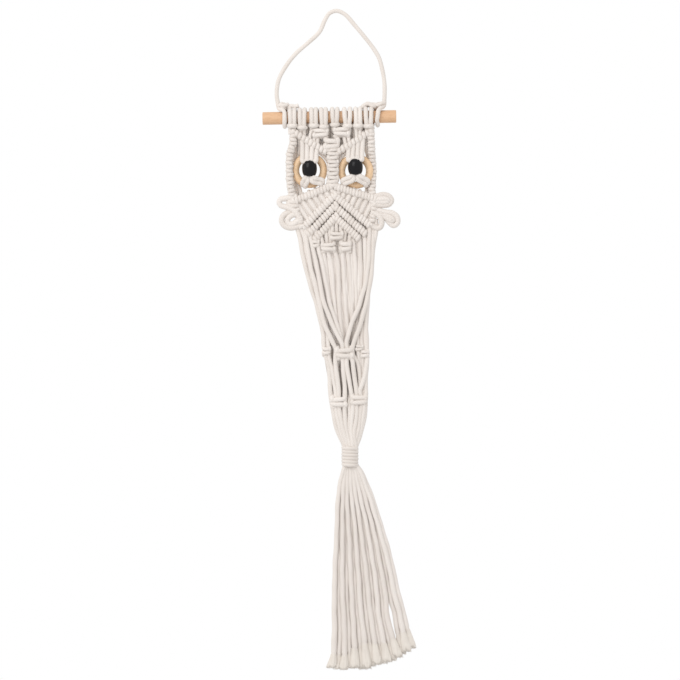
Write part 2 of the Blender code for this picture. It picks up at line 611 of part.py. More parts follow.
# Where the cut ends stop: share of the width, z.
FRINGE_ENDS = ((0.0, -653.0), (0.2, -658.0), (0.3, -652.5), (0.37, -656.6), (0.74, -650.4),
               (0.9, -641.0), (1.0, -634.5))
FRINGE_CORDS = 16
FRINGE_HEIGHTS = (-452.0, -460.0, -470.0, -485.0, -505.0, -530.0, -560.0, -590.0, -616.0)
FRINGE_STAGGER = 2.4           # how far neighbours lie before and behind the middle
SLIT_AT, SLIT_WIDTH = 13, 4.2  # the open slit lies after this many cords
TIP_LENGTH, TIP_RADIUS = 11.0, 2.7


def table_value(rows, at, column):
    """A column of a table read at a value of its first one."""
    ordered = sorted(rows)
    return float(np.interp(at, [row[0] for row in ordered], [row[column] for row in ordered]))


def fringe_cord(k):
    """One end of the fringe: rows stagger behind each other where they are crowded."""
    share = (k + 0.5) / FRINGE_CORDS
    end_z = table_value(FRINGE_ENDS, share, 1)
    depth = -FRINGE_STAGGER if k % 2 == 0 else FRINGE_STAGGER
    heights = FRINGE_HEIGHTS + (end_z + TIP_LENGTH, end_z)
    route, radii = [], []
    for z in heights:
        left, right = table_value(FRINGE_EDGES, z, 1), table_value(FRINGE_EDGES, z, 2)
        open_slit = SLIT_WIDTH * float(np.interp(z, [-640, -610, -590], [0.4, 1.0, 0.0]))
        shift = open_slit * (0.25 if k >= SLIT_AT else -0.25)
        fall = min(1.0, (FRINGE_HEIGHTS[0] - z) / 160)
        y = WRAP_Y + depth * (1 - 0.35 * fall)
        route.append((left + (right - left) * share + shift, y, z))
        radii.append(CORD_R)
    radii[-1] = TIP_RADIUS
    return tube(route, radii, sides=4)


def wrap_and_fringe(finish, home):
    """The gathering wrap's turns and the ends that hang from it."""
    top = Vector((WRAP_TOP[0], WRAP_Y, WRAP_TOP[1]))
    bottom = Vector((WRAP_BOTTOM[0], WRAP_Y, WRAP_BOTTOM[1]))
    steps = 2 * WRAP_TURNS
    route = [top.lerp(bottom, k / steps) for k in range(steps + 1)]
    radii = [WRAP_RADIUS - (WRAP_GROOVE if k % 2 == 0 else 0.0) for k in range(steps + 1)]
    drum = tube(route, radii, sides=14)
    cords = [fringe_cord(k) for k in range(FRINGE_CORDS)]
    return add_object("wrap_and_fringe", fused([drum] + cords, keep=0.8), finish, home)


# ---------------------------------------------------------------- the whole hanging
def build():
    """Make every piece of the wall hanging."""
    clear_scene()
    home = collection("macrame_owl")
    cotton = material("cotton cord", (0.84, 0.79, 0.74), 0.9)
    birch = material("birch dowel", (0.76, 0.50, 0.28), 0.55)
    maple = material("maple ring", (0.80, 0.58, 0.34), 0.5)
    black = material("black bead", (0.012, 0.012, 0.014), 0.15)
    dowel(birch, home)
    hanging_cord(cotton, home)
    for name, x, lumps in HANGERS:
        hanger_knot("hanger_knot_" + name, x, lumps, cotton, home)
    for name, ring_x, ring_z, bead_x, bead_z in EYES:
        eye_ring("eye_ring_" + name, ring_x, ring_z, maple, home)
        eye_bead("eye_bead_" + name, bead_x, bead_z, black, home)
    panel(cotton, home)
    wrap_and_fringe(cotton, home)


build()
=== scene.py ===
# %% [markdown]
# # A macrame owl, knotted in Blender
#
# The real object is a macrame hanging: eight doubled cotton cords hang from a birch dowel, and
# their sixteen ends are knotted into an owl with wooden rings and black beads for eyes.
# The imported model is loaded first.  It holds the true places and sizes, so every new surface
# below is made in the same millimetres and replaces the plain solid that stands for it.

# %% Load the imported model
import math

import bpy
import numpy as np
from mathutils import Matrix, Vector


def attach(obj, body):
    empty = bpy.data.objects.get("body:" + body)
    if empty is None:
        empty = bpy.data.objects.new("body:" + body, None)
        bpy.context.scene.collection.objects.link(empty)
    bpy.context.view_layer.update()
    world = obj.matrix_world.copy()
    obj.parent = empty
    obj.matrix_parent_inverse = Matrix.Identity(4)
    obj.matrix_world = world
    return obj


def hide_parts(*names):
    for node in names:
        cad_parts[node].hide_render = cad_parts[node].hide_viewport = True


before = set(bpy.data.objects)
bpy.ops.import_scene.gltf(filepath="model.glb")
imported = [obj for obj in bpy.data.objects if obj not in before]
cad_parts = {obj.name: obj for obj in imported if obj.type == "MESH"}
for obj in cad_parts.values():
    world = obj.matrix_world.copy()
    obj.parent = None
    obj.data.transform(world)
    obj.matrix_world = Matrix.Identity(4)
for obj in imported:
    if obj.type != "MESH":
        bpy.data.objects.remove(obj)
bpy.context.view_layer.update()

# %% [markdown]
# ## Working sizes
#
# One millimetre is the unit of every table, and `MM` turns it into Blender's metres when a
# mesh is written.  X runs along the dowel to the right, Y away from the viewer and Z up, and
# the origin is the inside of the hanging loop.

# %% Sizes shared by all the pieces
MM = 0.001
CORD = 4.2                      # diameter of the braided cotton cord
R = CORD / 2
SIDES = 12                      # corners of a cord's section
STEP = 1.1                      # distance between two sections
FINE = 14                       # points on each span of a route, before they are spaced evenly
DOWEL_R, DOWEL_Z = 6.35, -104.5
SHEET_Y = -4.5                  # mid-plane of the knotted cloth
rng = np.random.default_rng(11)

# %% [markdown]
# ## The camera
#
# The photograph looks straight at the cloth from a few metres away, with the camera turned a
# little on its own axis, so the dowel's left end sits lower in the picture than its right one.
# A long lens far away keeps that flat view.  Setting the camera first lets every later piece be
# judged in the same picture.

# %% Camera
camera_data = bpy.data.cameras.new("photo_camera")
camera = bpy.data.objects.new("photo_camera", camera_data)
bpy.context.scene.collection.objects.link(camera)
bpy.context.scene.camera = camera
DISTANCE, PICTURE, TILT = 3.0, 0.68, math.radians(-0.9)
aim = Vector((-0.00264, -0.004, -0.32750))
camera.matrix_world = (Matrix.Translation(aim - Vector((0, DISTANCE, 0)))
                       @ Matrix.Rotation(math.pi / 2, 4, "X") @ Matrix.Rotation(TILT, 4, "Z"))
camera_data.sensor_width = 36
camera_data.lens = camera_data.sensor_width * DISTANCE / PICTURE
camera_data.clip_end = 20
print("lens, mm:", round(camera_data.lens, 1))

# %% [markdown]
# ## A cord as a surface
#
# A cord is a round section carried along a path.  The path is a smooth curve through a short
# list of points.  At each point of it the section needs two directions across the cord, and
# they must not spin as the cord turns.  So the first pair of directions is carried along the
# path by the small turns between neighbouring tangents, all multiplied together at once.

# %% Paths
def distances(line):
    """How far along a line each of its points lies: the running sum of the steps."""
    return np.concatenate([[0], np.cumsum(np.linalg.norm(np.diff(line, axis=0), axis=1))])


def spaced(line, step=STEP):
    """Points about `step` apart on a line: each coordinate is read at even distances along it."""
    along = distances(line)
    count = max(2, int(round(along[-1] / step)) + 1)
    at = np.linspace(0, along[-1], count)
    return np.stack([np.interp(at, along, line[:, k]) for k in range(3)], axis=1)


def through(points, step=STEP):
    """A smooth curve through points.

    Between points b and c it is the cubic with slopes m_b and m_c.  Each slope comes from the two
    neighbouring runs, taken with the root of their lengths, so that close points make no kinks.
    """
    p = np.asarray(points, float)
    p = np.vstack([2 * p[0] - p[1], p, 2 * p[-1] - p[-2]])
    gap = np.maximum(np.linalg.norm(np.diff(p, axis=0), axis=1), 1e-6)[:, None] ** 0.5
    run = np.diff(p, axis=0) / gap
    slope = run[:-1] - (p[2:] - p[:-2]) / (gap[:-1] + gap[1:]) + run[1:]
    b, c = p[1:-2, None], p[2:-1, None]
    mb, mc = (slope[:-1] * gap[1:-1])[:, None], (slope[1:] * gap[1:-1])[:, None]
    t = np.linspace(0, 1, FINE, endpoint=False)[None, :, None]
    fine = ((2 * t**3 - 3 * t**2 + 1) * b + (t**3 - 2 * t**2 + t) * mb
            + (3 * t**2 - 2 * t**3) * c + (t**3 - t**2) * mc)
    return spaced(np.vstack([fine.reshape(-1, 3), p[-2]]), step)


def unit(v):
    """Each vector divided by its own length."""
    return v / np.maximum(np.linalg.norm(v, axis=-1, keepdims=True), 1e-12)


def carried_frame(line):
    """Two directions across a line at each point, which turn no more than the line does.

    From tangent a to tangent b the least turn is I + [v] + [v][v] / (1 + a.b), where v = a x b.
    The product of all turns up to a point is built by doubling: 1, 2, 4, ... turns at a time.
    """
    tangent = unit(np.gradient(line, axis=0))
    v = np.cross(tangent[:-1], tangent[1:])
    cosine = np.sum(tangent[:-1] * tangent[1:], axis=1)[:, None, None]
    zero = np.zeros(len(v))
    skew = np.stack([zero, -v[:, 2], v[:, 1], v[:, 2], zero, -v[:, 0], -v[:, 1], v[:, 0], zero],
                    axis=1).reshape(-1, 3, 3)
    turn = np.eye(3) + skew + skew @ skew / np.maximum(1 + cosine, 1e-6)
    turn = np.concatenate([np.eye(3)[None], turn])
    reach = 1
    while reach < len(turn):
        turn[reach:] = turn[reach:] @ turn[:-reach].copy()
        reach *= 2
    first = tangent[0]
    across = np.eye(3)[np.argmin(np.abs(first))]
    side = unit(np.cross(across, first))
    up = np.cross(first, side)
    return turn @ side, turn @ up


print("points on a test curve:", len(through([(0, 0, 0), (10, 0, 0), (10, 10, 0)])))

# %% [markdown]
# ## Gathering many cords into one piece
#
# A knotted area holds dozens of cords, so one collector takes all their sections and writes them
# as a single mesh.  Each cord also carries a UV map, where U is the turn round the cord and V the
# millimetres along it, so the braid can follow the cord.  A value per point makes it lighter or
# darker.  Unless one is given it is a random tone, so two cords side by side are never quite the
# same white; the cords behind the knots are given low values, which are painted shade.

# %% Collector
SWAY_LONG, SWAY_SHORT = 9.0, 4.3  # millimetres to a radian of the two waves in a cord's line
SWELL_SHORT, SWELL_LONG = 3.1, 7  # the same for the two waves in its radius
FADE = 6                          # length at each end over which the sway fades out
START_SPAN = 40                   # the braid of a cord starts anywhere within this length


class Yarn:
    """Surfaces of many cords, kept as arrays until they are written as one mesh."""

    def __init__(self):
        self.points, self.faces, self.uv, self.tone_and_shade = [], [], [], []
        self.count = 0

    def add(self, points, tone_and_shade, *parts):
        """Keep one surface: its points with their values of tone and painted shade, and sets of faces with
        their corners' UV.
        """
        self.points.append(points)
        self.tone_and_shade.append(np.broadcast_to(tone_and_shade, len(points)))
        for faces, uv in parts:
            self.faces.append(faces + self.count)
            self.uv.append(uv)
        self.count += len(points)

    def cord(self, line, radius=R, sides=SIDES, wobble=0.12, tone_and_shade=None):
        """A closed tube: point (i, j) is line_i + r_i (cos t_j side_i + sin t_j up_i).

        The line wanders by two sines of random phase, which fade out at the cord's ends, and the
        radius swells and shrinks by a few hundredths, as in a cord laid by hand.
        """
        line = np.asarray(line, float)
        n = len(line)
        length = distances(line)
        phase = rng.uniform(0, 2 * np.pi, (2, 3))
        sway = (np.sin(length[:, None] / SWAY_LONG + phase[0])
                + np.sin(length[:, None] / SWAY_SHORT + phase[1]))
        fade = np.minimum(1, np.minimum(length, length[-1] - length) / FADE)[:, None]
        line = line + wobble * sway * fade
        side, up = carried_frame(line)
        swell = (1 + 0.025 * np.sin(length / SWELL_SHORT + phase[0, 0])
                 + 0.02 * np.sin(length / SWELL_LONG + phase[1, 1]))
        r = (np.broadcast_to(radius, n) * swell)[:, None, None]
        t = np.linspace(0, 2 * np.pi, sides, endpoint=False)[None, :, None]
        grid = line[:, None] + r * (np.cos(t) * side[:, None] + np.sin(t) * up[:, None])
        start = rng.uniform(0, START_SPAN)
        tone_and_shade = rng.uniform(0, 1) if tone_and_shade is None else tone_and_shade
        self.tube(grid, line[0], line[-1], start + length, tone_and_shade)

    def tube(self, rings, foot, head, v, tone_and_shade):
        """Quads between neighbouring rings, and a fan of triangles to a middle point at each end."""
        n, sides = rings.shape[:2]
        points = np.vstack([rings.reshape(-1, 3), foot, head])
        i, j = np.meshgrid(np.arange(n - 1), np.arange(sides), indexing="ij")
        k = (j + 1) % sides
        quads = np.stack([i * sides + j, i * sides + k, (i + 1) * sides + k, (i + 1) * sides + j],
                         axis=-1).reshape(-1, 4)
        u0, u1, v0, v1 = j / sides, (j + 1) / sides, v[i], v[i + 1]
        uv = np.stack([u0, v0, u1, v0, u1, v1, u0, v1], axis=-1).reshape(-1, 4, 2)
        ring = np.arange(sides)
        turn = (ring + 1) % sides
        last = (n - 1) * sides
        fans = np.vstack([np.stack([np.full(sides, n * sides), turn, ring], axis=1),
                          np.stack([np.full(sides, n * sides + 1), last + ring, last + turn], axis=1)])
        shade = np.broadcast_to(tone_and_shade, n)
        self.add(points, np.append(np.repeat(shade, sides), shade[[0, -1]]),
                 (quads, uv), (fans, np.zeros((len(fans), 3, 2))))

    def mesh(self, name):
        """Write everything as one mesh with its UV map and its values of tone and painted shade."""
        mesh = bpy.data.meshes.new(name)
        points = np.concatenate(self.points) * MM
        sizes = np.concatenate([np.full(len(f), f.shape[1]) for f in self.faces])
        corners = np.concatenate([f.ravel() for f in self.faces])
        mesh.vertices.add(len(points))
        mesh.vertices.foreach_set("co", points.ravel())
        mesh.loops.add(len(corners))
        mesh.loops.foreach_set("vertex_index", corners.astype(np.int32))
        mesh.polygons.add(len(sizes))
        starts = np.concatenate([[0], np.cumsum(sizes)[:-1]])
        mesh.polygons.foreach_set("loop_start", starts.astype(np.int32))
        layer = mesh.uv_layers.new(name="along")
        layer.data.foreach_set("uv", np.concatenate([u.reshape(-1) for u in self.uv]))
        tone_and_shade = mesh.attributes.new("tone_and_shade", "FLOAT", "POINT")
        tone_and_shade.data.foreach_set("value", np.concatenate(self.tone_and_shade))
        mesh.update(calc_edges=True)
        mesh.validate()
        mesh.shade_smooth()
        return mesh


pieces = {}


def triangle_count(mesh):
    """A face with n corners is n - 2 triangles."""
    return sum(len(p.vertices) - 2 for p in mesh.polygons)


def place(name, mesh, finish, slot, *nodes):
    """Put a mesh in the scene as one piece that rides with the hanging and replaces its solids."""
    mesh.materials.append(finish)
    piece = bpy.data.objects.new(name, mesh)
    bpy.context.scene.collection.objects.link(piece)
    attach(piece, "root")
    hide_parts(*nodes)
    pieces[name] = piece
    print(name, "triangles:", triangle_count(mesh))
    return piece

# %% [markdown]
# ## Shader maths written as Python
#
# Node trees are easier to read as formulas.  The class `Term` wraps a node's output, and each
# operator adds the Math node that does the same thing.  `Finish.node` adds any other node.

# %% A small language for materials
class Term:
    """A value from a shader node, with Python's operators."""

    def __init__(self, finish, socket):
        self.finish, self.socket = finish, socket

    def math(self, operation, *others):
        """One Math node with this value first."""
        values = dict(enumerate((self,) + others))
        return self.finish.node("ShaderNodeMath", {"operation": operation}, values)

    def __add__(self, other):
        return self.math("ADD", other)

    def __sub__(self, other):
        return self.math("SUBTRACT", other)

    def __mul__(self, other):
        return self.math("MULTIPLY", other)

    def __rsub__(self, other):
        return self.finish.node("ShaderNodeMath", {"operation": "SUBTRACT"}, {0: other, 1: self})

    __radd__ = __add__
    __rmul__ = __mul__


class Finish:
    """A material built from terms."""

    def __init__(self, name, roughness=0.8, **fixed):
        self.material = bpy.data.materials.new(name)
        self.material.use_nodes = True
        self.tree = self.material.node_tree
        self.shader = self.tree.nodes["Principled BSDF"]
        self.shader.inputs["Roughness"].default_value = roughness
        for socket, value in fixed.items():
            self.shader.inputs[socket.replace("_", " ")].default_value = value

    def set(self, socket, value):
        """Give a socket a number, a colour or another node's output."""
        if isinstance(value, Term):
            self.tree.links.new(value.socket, socket)
        else:
            socket.default_value = value

    def node(self, kind, settings=None, values=None, output=0):
        """Add a node: its settings first, then its sockets."""
        made = self.tree.nodes.new(kind)
        for key, value in (settings or {}).items():
            setattr(made, key, value)
        for key, value in (values or {}).items():
            self.set(made.inputs[key], value)
        return Term(self, made.outputs[output])

    def blend(self, factor, dark, light):
        """A colour between two others."""
        return self.node("ShaderNodeMix", {"data_type": "RGBA"}, {0: factor, 6: dark, 7: light}, 2)

    def noise(self, vector, scale, detail=3.0, rough=0.55):
        """Smooth random values from 0 to 1."""
        return self.node("ShaderNodeTexNoise", {"noise_dimensions": "3D"},
                         {"Vector": vector, "Scale": scale, "Detail": detail, "Roughness": rough})

    def surface(self, **links):
        """Feed the shader's sockets."""
        for socket, value in links.items():
            self.set(self.shader.inputs[socket.replace("_", " ")], value)
        return self.material


# %% [markdown]
# ## Cotton
#
# The cord is a braid: half of its strands run round it to the left and half to the right, and
# they pass over and under each other.  With U the turn round the cord and V the distance along
# it, `a = 4 U + V / P` counts the strands one way and `b = 4 U - V / P` the other way, where P is
# the length of one pick of the braid.  Which one lies on top changes from crossing to crossing,
# like a chess board.  A strand is round, so its height is a cosine across its width.  That height
# becomes bump, and its low places get a darker cream as painted shade, because they lie deeper.

# %% Cotton cord
def cotton(name, light, dark, pick=2.7, strands=4.0, relief=0.17):
    """Braided cotton: height from two families of strands that change places.

    The 400 keeps b above zero.  It is an even number of strands, so the pattern stays the same.
    """
    f = Finish(name, roughness=0.9, Sheen_Weight=0.25, Sheen_Roughness=0.5)
    uv = f.node("ShaderNodeUVMap", {"uv_map": "along"})
    u = f.node("ShaderNodeSeparateXYZ", None, {0: uv}, 0)
    v = f.node("ShaderNodeSeparateXYZ", None, {0: uv}, 1)
    round_it, along_it = strands * u, v * (1 / pick)
    a = round_it + along_it
    b = round_it - along_it + 400.0
    across_a = (a.math("FRACT") - 0.5) * math.pi
    across_b = (b.math("FRACT") - 0.5) * math.pi
    over = ((a.math("FLOOR") + b.math("FLOOR")) * 0.5).math("FRACT") * 2.0
    high_a = across_a.math("COSINE") * (across_b.math("COSINE") * 0.5 + 0.5)
    high_b = across_b.math("COSINE") * (across_a.math("COSINE") * 0.5 + 0.5)
    height = high_a * over + high_b * (1 - over)
    place_in = f.node("ShaderNodeTexCoord", output=3)
    fibres = f.noise(place_in, 2600.0, 2.0)
    cloud = f.noise(place_in, 45.0, 2.0)
    # per-point value: the cord's random tone, and painted shade on the cords behind the knots
    tone_and_shade = f.node("ShaderNodeAttribute", {"attribute_name": "tone_and_shade"}, None, 2)
    # the braid's low places are darkened as painted shade; the fibre and cloud noises are the cotton's own
    # tone
    shade = height * 0.24 + fibres * 0.26 + cloud * 0.3 + tone_and_shade * 0.2 + 0.16
    colour = f.blend(shade.math("MINIMUM", 1.0), dark, light)
    bump = f.node("ShaderNodeBump", None, {"Strength": relief, "Distance": 0.0006,
                                           "Height": height + fibres * 0.35})
    return f.surface(Base_Color=colour, Normal=bump)


def combed_cotton():
    """Loose cotton: pale, with streaks of a noise that is stretched along the threads."""
    f = Finish("combed cotton", roughness=0.95, Sheen_Weight=0.25, Sheen_Roughness=0.6)
    place_in = f.node("ShaderNodeTexCoord", output=3)
    along = f.node("ShaderNodeMapping", None, {"Vector": place_in, "Scale": (1500, 1500, 60)})
    streak = f.noise(along, 1.0, 3.0, 0.6)
    cloud = f.noise(place_in, 120.0, 2.0)
    colour = f.blend(streak * 0.6 + cloud * 0.5, (0.56, 0.50, 0.44, 1), (0.80, 0.75, 0.69, 1))
    bump = f.node("ShaderNodeBump", None, {"Strength": 0.4, "Distance": 0.0005, "Height": streak})
    return f.surface(Base_Color=colour, Normal=bump)


CREAM_LIGHT, CREAM_DARK = (0.79, 0.74, 0.70, 1), (0.53, 0.465, 0.41, 1)
cotton_cord = cotton("cotton cord", CREAM_LIGHT, CREAM_DARK)
open_braid = cotton("open braid", CREAM_LIGHT, CREAM_DARK, pick=2.4, relief=0.3)
loose_cotton = combed_cotton()
print("cotton nodes:", len(cotton_cord.node_tree.nodes), len(loose_cotton.node_tree.nodes))

# %% [markdown]
# ## Wood and black beads
#
# Birch and maple are pale woods.  On a turned or planed piece the year rings show as long soft
# lines, and fine dark flecks run with them.  A noise that is stretched along the grain gives
# both.  The beads are glossy black, so almost all that is seen of them is reflected light.

# %% Wood and beads
def wood(name, pale, deep, stretch, roughness=0.5):
    """Wood: bands of one stretched noise, flecks of a finer one."""
    f = Finish(name, roughness=roughness)
    place_in = f.node("ShaderNodeTexCoord", output=3)
    grain = f.node("ShaderNodeMapping", None, {"Vector": place_in, "Scale": stretch})
    warp = f.noise(grain, 3.0, 2.0)
    lines = (f.noise(grain, 14.0, 3.0) * 5.0 + warp * 3.0).math("FRACT")
    band = (lines - 0.5).math("ABSOLUTE") * 2.0
    fleck = f.noise(grain, 120.0, 2.0, 0.7)
    tone = band * 0.45 + fleck * 0.4 + warp * 0.25
    colour = f.blend(tone.math("MINIMUM", 1.0), deep, pale)
    height = fleck + band * 0.3
    bump = f.node("ShaderNodeBump", None, {"Strength": 0.25, "Distance": 0.0002, "Height": height})
    return f.surface(Base_Color=colour, Normal=bump, Roughness=fleck * 0.2 + (roughness - 0.1))


def black_gloss():
    """Glossy black: nearly no colour, with a noise of fine dust in its roughness."""
    f = Finish("black bead", roughness=0.16, Specular_IOR_Level=0.15)
    dust = f.noise(f.node("ShaderNodeTexCoord", output=3), 900.0, 2.0)
    colour = f.blend(dust, (0.004, 0.004, 0.005, 1), (0.012, 0.011, 0.012, 1))
    return f.surface(Base_Color=colour, Roughness=0.10 + dust * 0.12)


birch = wood("birch dowel", (0.73, 0.475, 0.29, 1), (0.53, 0.30, 0.155, 1), (6, 60, 60))
maple = wood("maple ring", (0.84, 0.62, 0.41, 1), (0.64, 0.41, 0.22, 1), (60, 60, 12), roughness=0.42)
black_bead = black_gloss()
bpy.data.objects["dowel"].material_slots[0].material = birch
print("finishes:", [m.name for m in bpy.data.materials])

# %% [markdown]
# ## The hanging cord
#
# The free loop between its two knots is the only cord here that could swing.  Its path repeats
# the points of the part's own table.

# %% Hanging cord
def lay(name, yarn, node="macrame_panel", finish=cotton_cord):
    """Place what a collector holds as one cotton piece."""
    return place(name, yarn.mesh(name), finish, "cotton", node)


LOOP_ROUTE = (
    (-60.6, -1.0, -93.0), (-61.2, -1.0, -88.5), (-62.2, -0.8, -81.0), (-60.1, -0.5, -66.6),
    (-53.3, 0.0, -53.7), (-43.1, 0.3, -40.8), (-30.0, 0.5, -29.5), (-18.4, 0.5, -18.7),
    (-12.6, 0.3, -6.8), (-8.0, 0.1, -0.2), (-0.7, 0.0, 2.1), (7.5, 0.1, -1.6),
    (17.3, 0.3, -12.8), (27.1, 0.5, -24.9), (35.4, 0.5, -36.1), (40.8, 0.3, -45.6),
    (44.1, 0.0, -58.2), (45.9, -0.5, -71.2), (45.9, -0.8, -81.0), (45.5, -1.0, -88.6),
    (45.2, -1.0, -93.0),
)
loop_line = through(LOOP_ROUTE)
loop = Yarn()
loop.cord(loop_line, wobble=0.0, sides=16)
hanging = lay("hanging_loop", loop, "hanging_cord")

# %% [markdown]
# ## Knots on the dowel
#
# Each end of the hanging cord goes once round the dowel and is tied off with an overhand knot on
# top, and a short tail is left.  Each of the eight doubled cords hangs by a lark's head: its two
# halves pass over the front of the dowel, down behind it and forward again under it, and the
# middle of the cord is the bar that holds them in front.

# %% Hanger knots
def round_dowel(x, radius, first, last, shift, count):
    """Points on a turn round the dowel, from one angle to another: 0 is the front, 90 the top."""
    angle = np.radians(np.linspace(first, last, count))
    x = x + shift * np.linspace(0, 1, count)
    return np.stack([np.broadcast_to(x, count), -radius * np.cos(angle),
                     DOWEL_Z + radius * np.sin(angle)], axis=1)


TURN_R = DOWEL_R + R            # a turn of cord that lies on the dowel
TIE_R, TIE_TURN_R = R * 1.03, TURN_R + 0.2
BINDING_R, SHORT_TAIL_R = R * 0.9, R * 0.85
HEAD_R = R * 1.1
HANGER_TIES = {
    # the cord down to the dowel, its turns (x, first and last angle, shift, points), the cord
    # after them, then each short cord of the knot with its radius
    "left": (
        ((-61.2, -1.0, -88.6), (-60.8, -1.0, -91.5), (-60.5, -1.3, -93.4), (-59.0, -3.0, -95.8),
         (-56.6, -5.8, -96.6)),
        ((-54.8, 40, -30, 0.1, 4), (-54.6, -60, -250, 0.8, 7)),
        ((-55.6, -3.4, -94.2), (-58.4, -3.4, -91.6), (-57.0, -0.6, -90.2), (-53.4, 0.4, -91.8),
         (-50.6, -1.2, -94.0), (-47.4, -1.6, -92.4), (-44.0, -1.4, -93.2), (-40.4, -1.6, -92.0)),
        ((((-61.0, -2.0, -92.6), (-57.6, -4.6, -92.0), (-53.6, -4.4, -92.2), (-51.4, -1.4, -90.8),
           (-53.6, 1.6, -92.2), (-57.6, 1.4, -93.4)), BINDING_R),)),
    "right": (
        ((45.5, -1.0, -88.8), (45.4, -1.0, -91.5), (45.1, -1.3, -93.4), (43.8, -3.0, -95.2),
         (41.6, -5.6, -96.2)),
        ((39.4, 42, -30, -1.4, 4), (38.8, -60, -245, -1.6, 7)),
        ((35.0, -3.2, -94.4), (32.6, -3.4, -93.4), (29.6, -2.6, -91.4), (26.0, -0.8, -92.6),
         (22.2, -1.6, -95.6)),
        ((((45.8, -1.6, -92.0), (42.6, -4.4, -91.4), (39.0, -4.2, -93.2), (37.2, -1.0, -92.6),
           (40.0, 1.6, -91.2), (43.8, 1.0, -92.6)), BINDING_R),
         (((39.6, -3.0, -94.4), (36.6, -2.6, -92.6), (33.6, 0.2, -91.8), (30.4, 0.6, -92.6),
           (27.2, 0.4, -94.2)), SHORT_TAIL_R))),
}
for side, (arriving, turns, leaving, bindings) in HANGER_TIES.items():
    tie = Yarn()
    wound = [round_dowel(x, TIE_TURN_R, *rest) for x, *rest in turns]
    tie.cord(through(np.vstack([arriving, *wound, leaving])), TIE_R)
    for route, radius in bindings:
        tie.cord(through(route), radius)
    lay("hanger_tie_" + side, tie, "hanger_knot_" + side)

# %% Lark's heads
LARKS_HEADS = (
    # middle x, half the gap of the two turns on top, the same at the bar, bar z, bar half width
    (-46.9, 2.0, 2.0, -112.9, 3.4), (-37.0, 2.4, 1.7, -115.0, 3.2), (-25.4, 2.2, 2.0, -113.2, 3.2),
    (-15.6, 2.1, 1.8, -114.4, 3.0), (-4.3, 2.6, 1.5, -112.6, 2.9), (8.1, 3.1, 1.7, -114.0, 3.1),
    (18.8, 2.2, 1.9, -114.0, 3.2), (29.4, 3.2, 1.8, -114.4, 3.4),
)


def larks_head(yarn, x, top, low, bar_z, bar, drop=7.0):
    """One doubled cord on the dowel, from one hanging end round to the other."""
    def half(sign):
        """Up behind the bar, over the dowel from front to back, and forward again to the bar's end."""
        climb = np.array([(x + sign * low, -1.2, bar_z - drop), (x + sign * low, -5.4, bar_z - 1.0),
                          (x + sign * (low * 0.8 + top * 0.2), -7.6, bar_z + 3.6)])
        turn = round_dowel(x + sign * (low * 0.4 + top * 0.6), TURN_R, 0, 250, sign * 0.9, 9)
        under = np.array([(x + sign * bar, -3.6, bar_z + 0.5), (x + sign * bar * 0.92, -7.4, bar_z + 0.3)])
        return np.vstack([climb, turn, under])
    left, right = half(-1), half(1)[::-1]
    yarn.cord(through(np.vstack([left, [(x, -9.9, bar_z)], right])), HEAD_R, wobble=0.08)


heads = Yarn()
for row in LARKS_HEADS:
    larks_head(heads, *row)
lay("larks_heads", heads)

# %% [markdown]
# ## The eyes
#
# Each eye is a turned wooden ring with a barrel bead in front of its middle.  A ring is a round
# section carried round a circle.  A bead is an outline turned about its bore: a flat mouth, a
# side that bulges, and the bore itself, which really goes through.

# %% Rings and beads
# The ring's band is 0.7 mm and the bead's width 0.8 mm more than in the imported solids.
RING_OUTSIDE, RING_BAND, RING_Y = 35.4, 7.4, -0.8
BEAD_WIDTH, BEAD_HEIGHT, BEAD_BORE, BEAD_Y = 15.0, 15.8, 8.0, -7.8
BEAD_BULGE = 70                 # degrees from the bead's waist to its mouth
EYES = {"left": (-30.4, -157.3, -30.4, -155.8), "right": (15.6, -158.8, 15.4, -155.0)}


def grid_faces(rows, columns):
    """Quads of a grid that closes on itself both ways."""
    i, j = np.meshgrid(np.arange(rows), np.arange(columns), indexing="ij")
    n, m = (i + 1) % rows, (j + 1) % columns
    return np.stack([i * columns + j, i * columns + m, n * columns + m, n * columns + j],
                    axis=-1).reshape(-1, 4)


def closed_mesh(name, grid, outwards=True):
    """A closed grid of points as a smooth mesh, with its faces turned round if they look inwards."""
    faces = grid_faces(*grid.shape[:2])
    mesh = bpy.data.meshes.new(name)
    mesh.from_pydata((grid.reshape(-1, 3) * MM).tolist(), [],
                     (faces if outwards else faces[:, ::-1]).tolist())
    mesh.shade_smooth()
    return mesh


def turned_ring(x, z):
    """A torus: (R + r cos(s)^0.9) (cos t, sin t) in the plane of the cloth, r sin s across it."""
    t = np.linspace(0, 2 * np.pi, 96, endpoint=False)[:, None]
    s = np.linspace(0, 2 * np.pi, 24, endpoint=False)[None, :]
    r = RING_BAND / 2
    far = RING_OUTSIDE / 2 - r + r * np.sign(np.cos(s)) * np.abs(np.cos(s)) ** 0.9
    return np.stack([x + far * np.cos(t), RING_Y + r * np.sin(s) + 0 * t, z + far * np.sin(t)], axis=-1)


def barrel_bead(x, z):
    """An outline turned about the bore: cos(s)^0.5 of the width up the side, then down the bore."""
    s = np.radians(np.linspace(-BEAD_BULGE, BEAD_BULGE, 26))
    side = np.stack([BEAD_WIDTH / 2 * np.cos(s) ** 0.5,
                     BEAD_HEIGHT / 2 * np.sin(s) / np.sin(s[-1])], axis=1)
    depth = np.linspace(BEAD_HEIGHT / 2 - 0.4, -BEAD_HEIGHT / 2 + 0.4, 6)
    bore = np.stack([np.full(6, BEAD_BORE / 2), depth], axis=1)
    outline = np.vstack([side, bore])
    t = np.linspace(0, 2 * np.pi, 64, endpoint=False)[:, None]
    return np.stack([x + outline[:, 0] * np.cos(t), BEAD_Y + outline[:, 0] * np.sin(t),
                     z + outline[:, 1] + 0 * t], axis=-1)


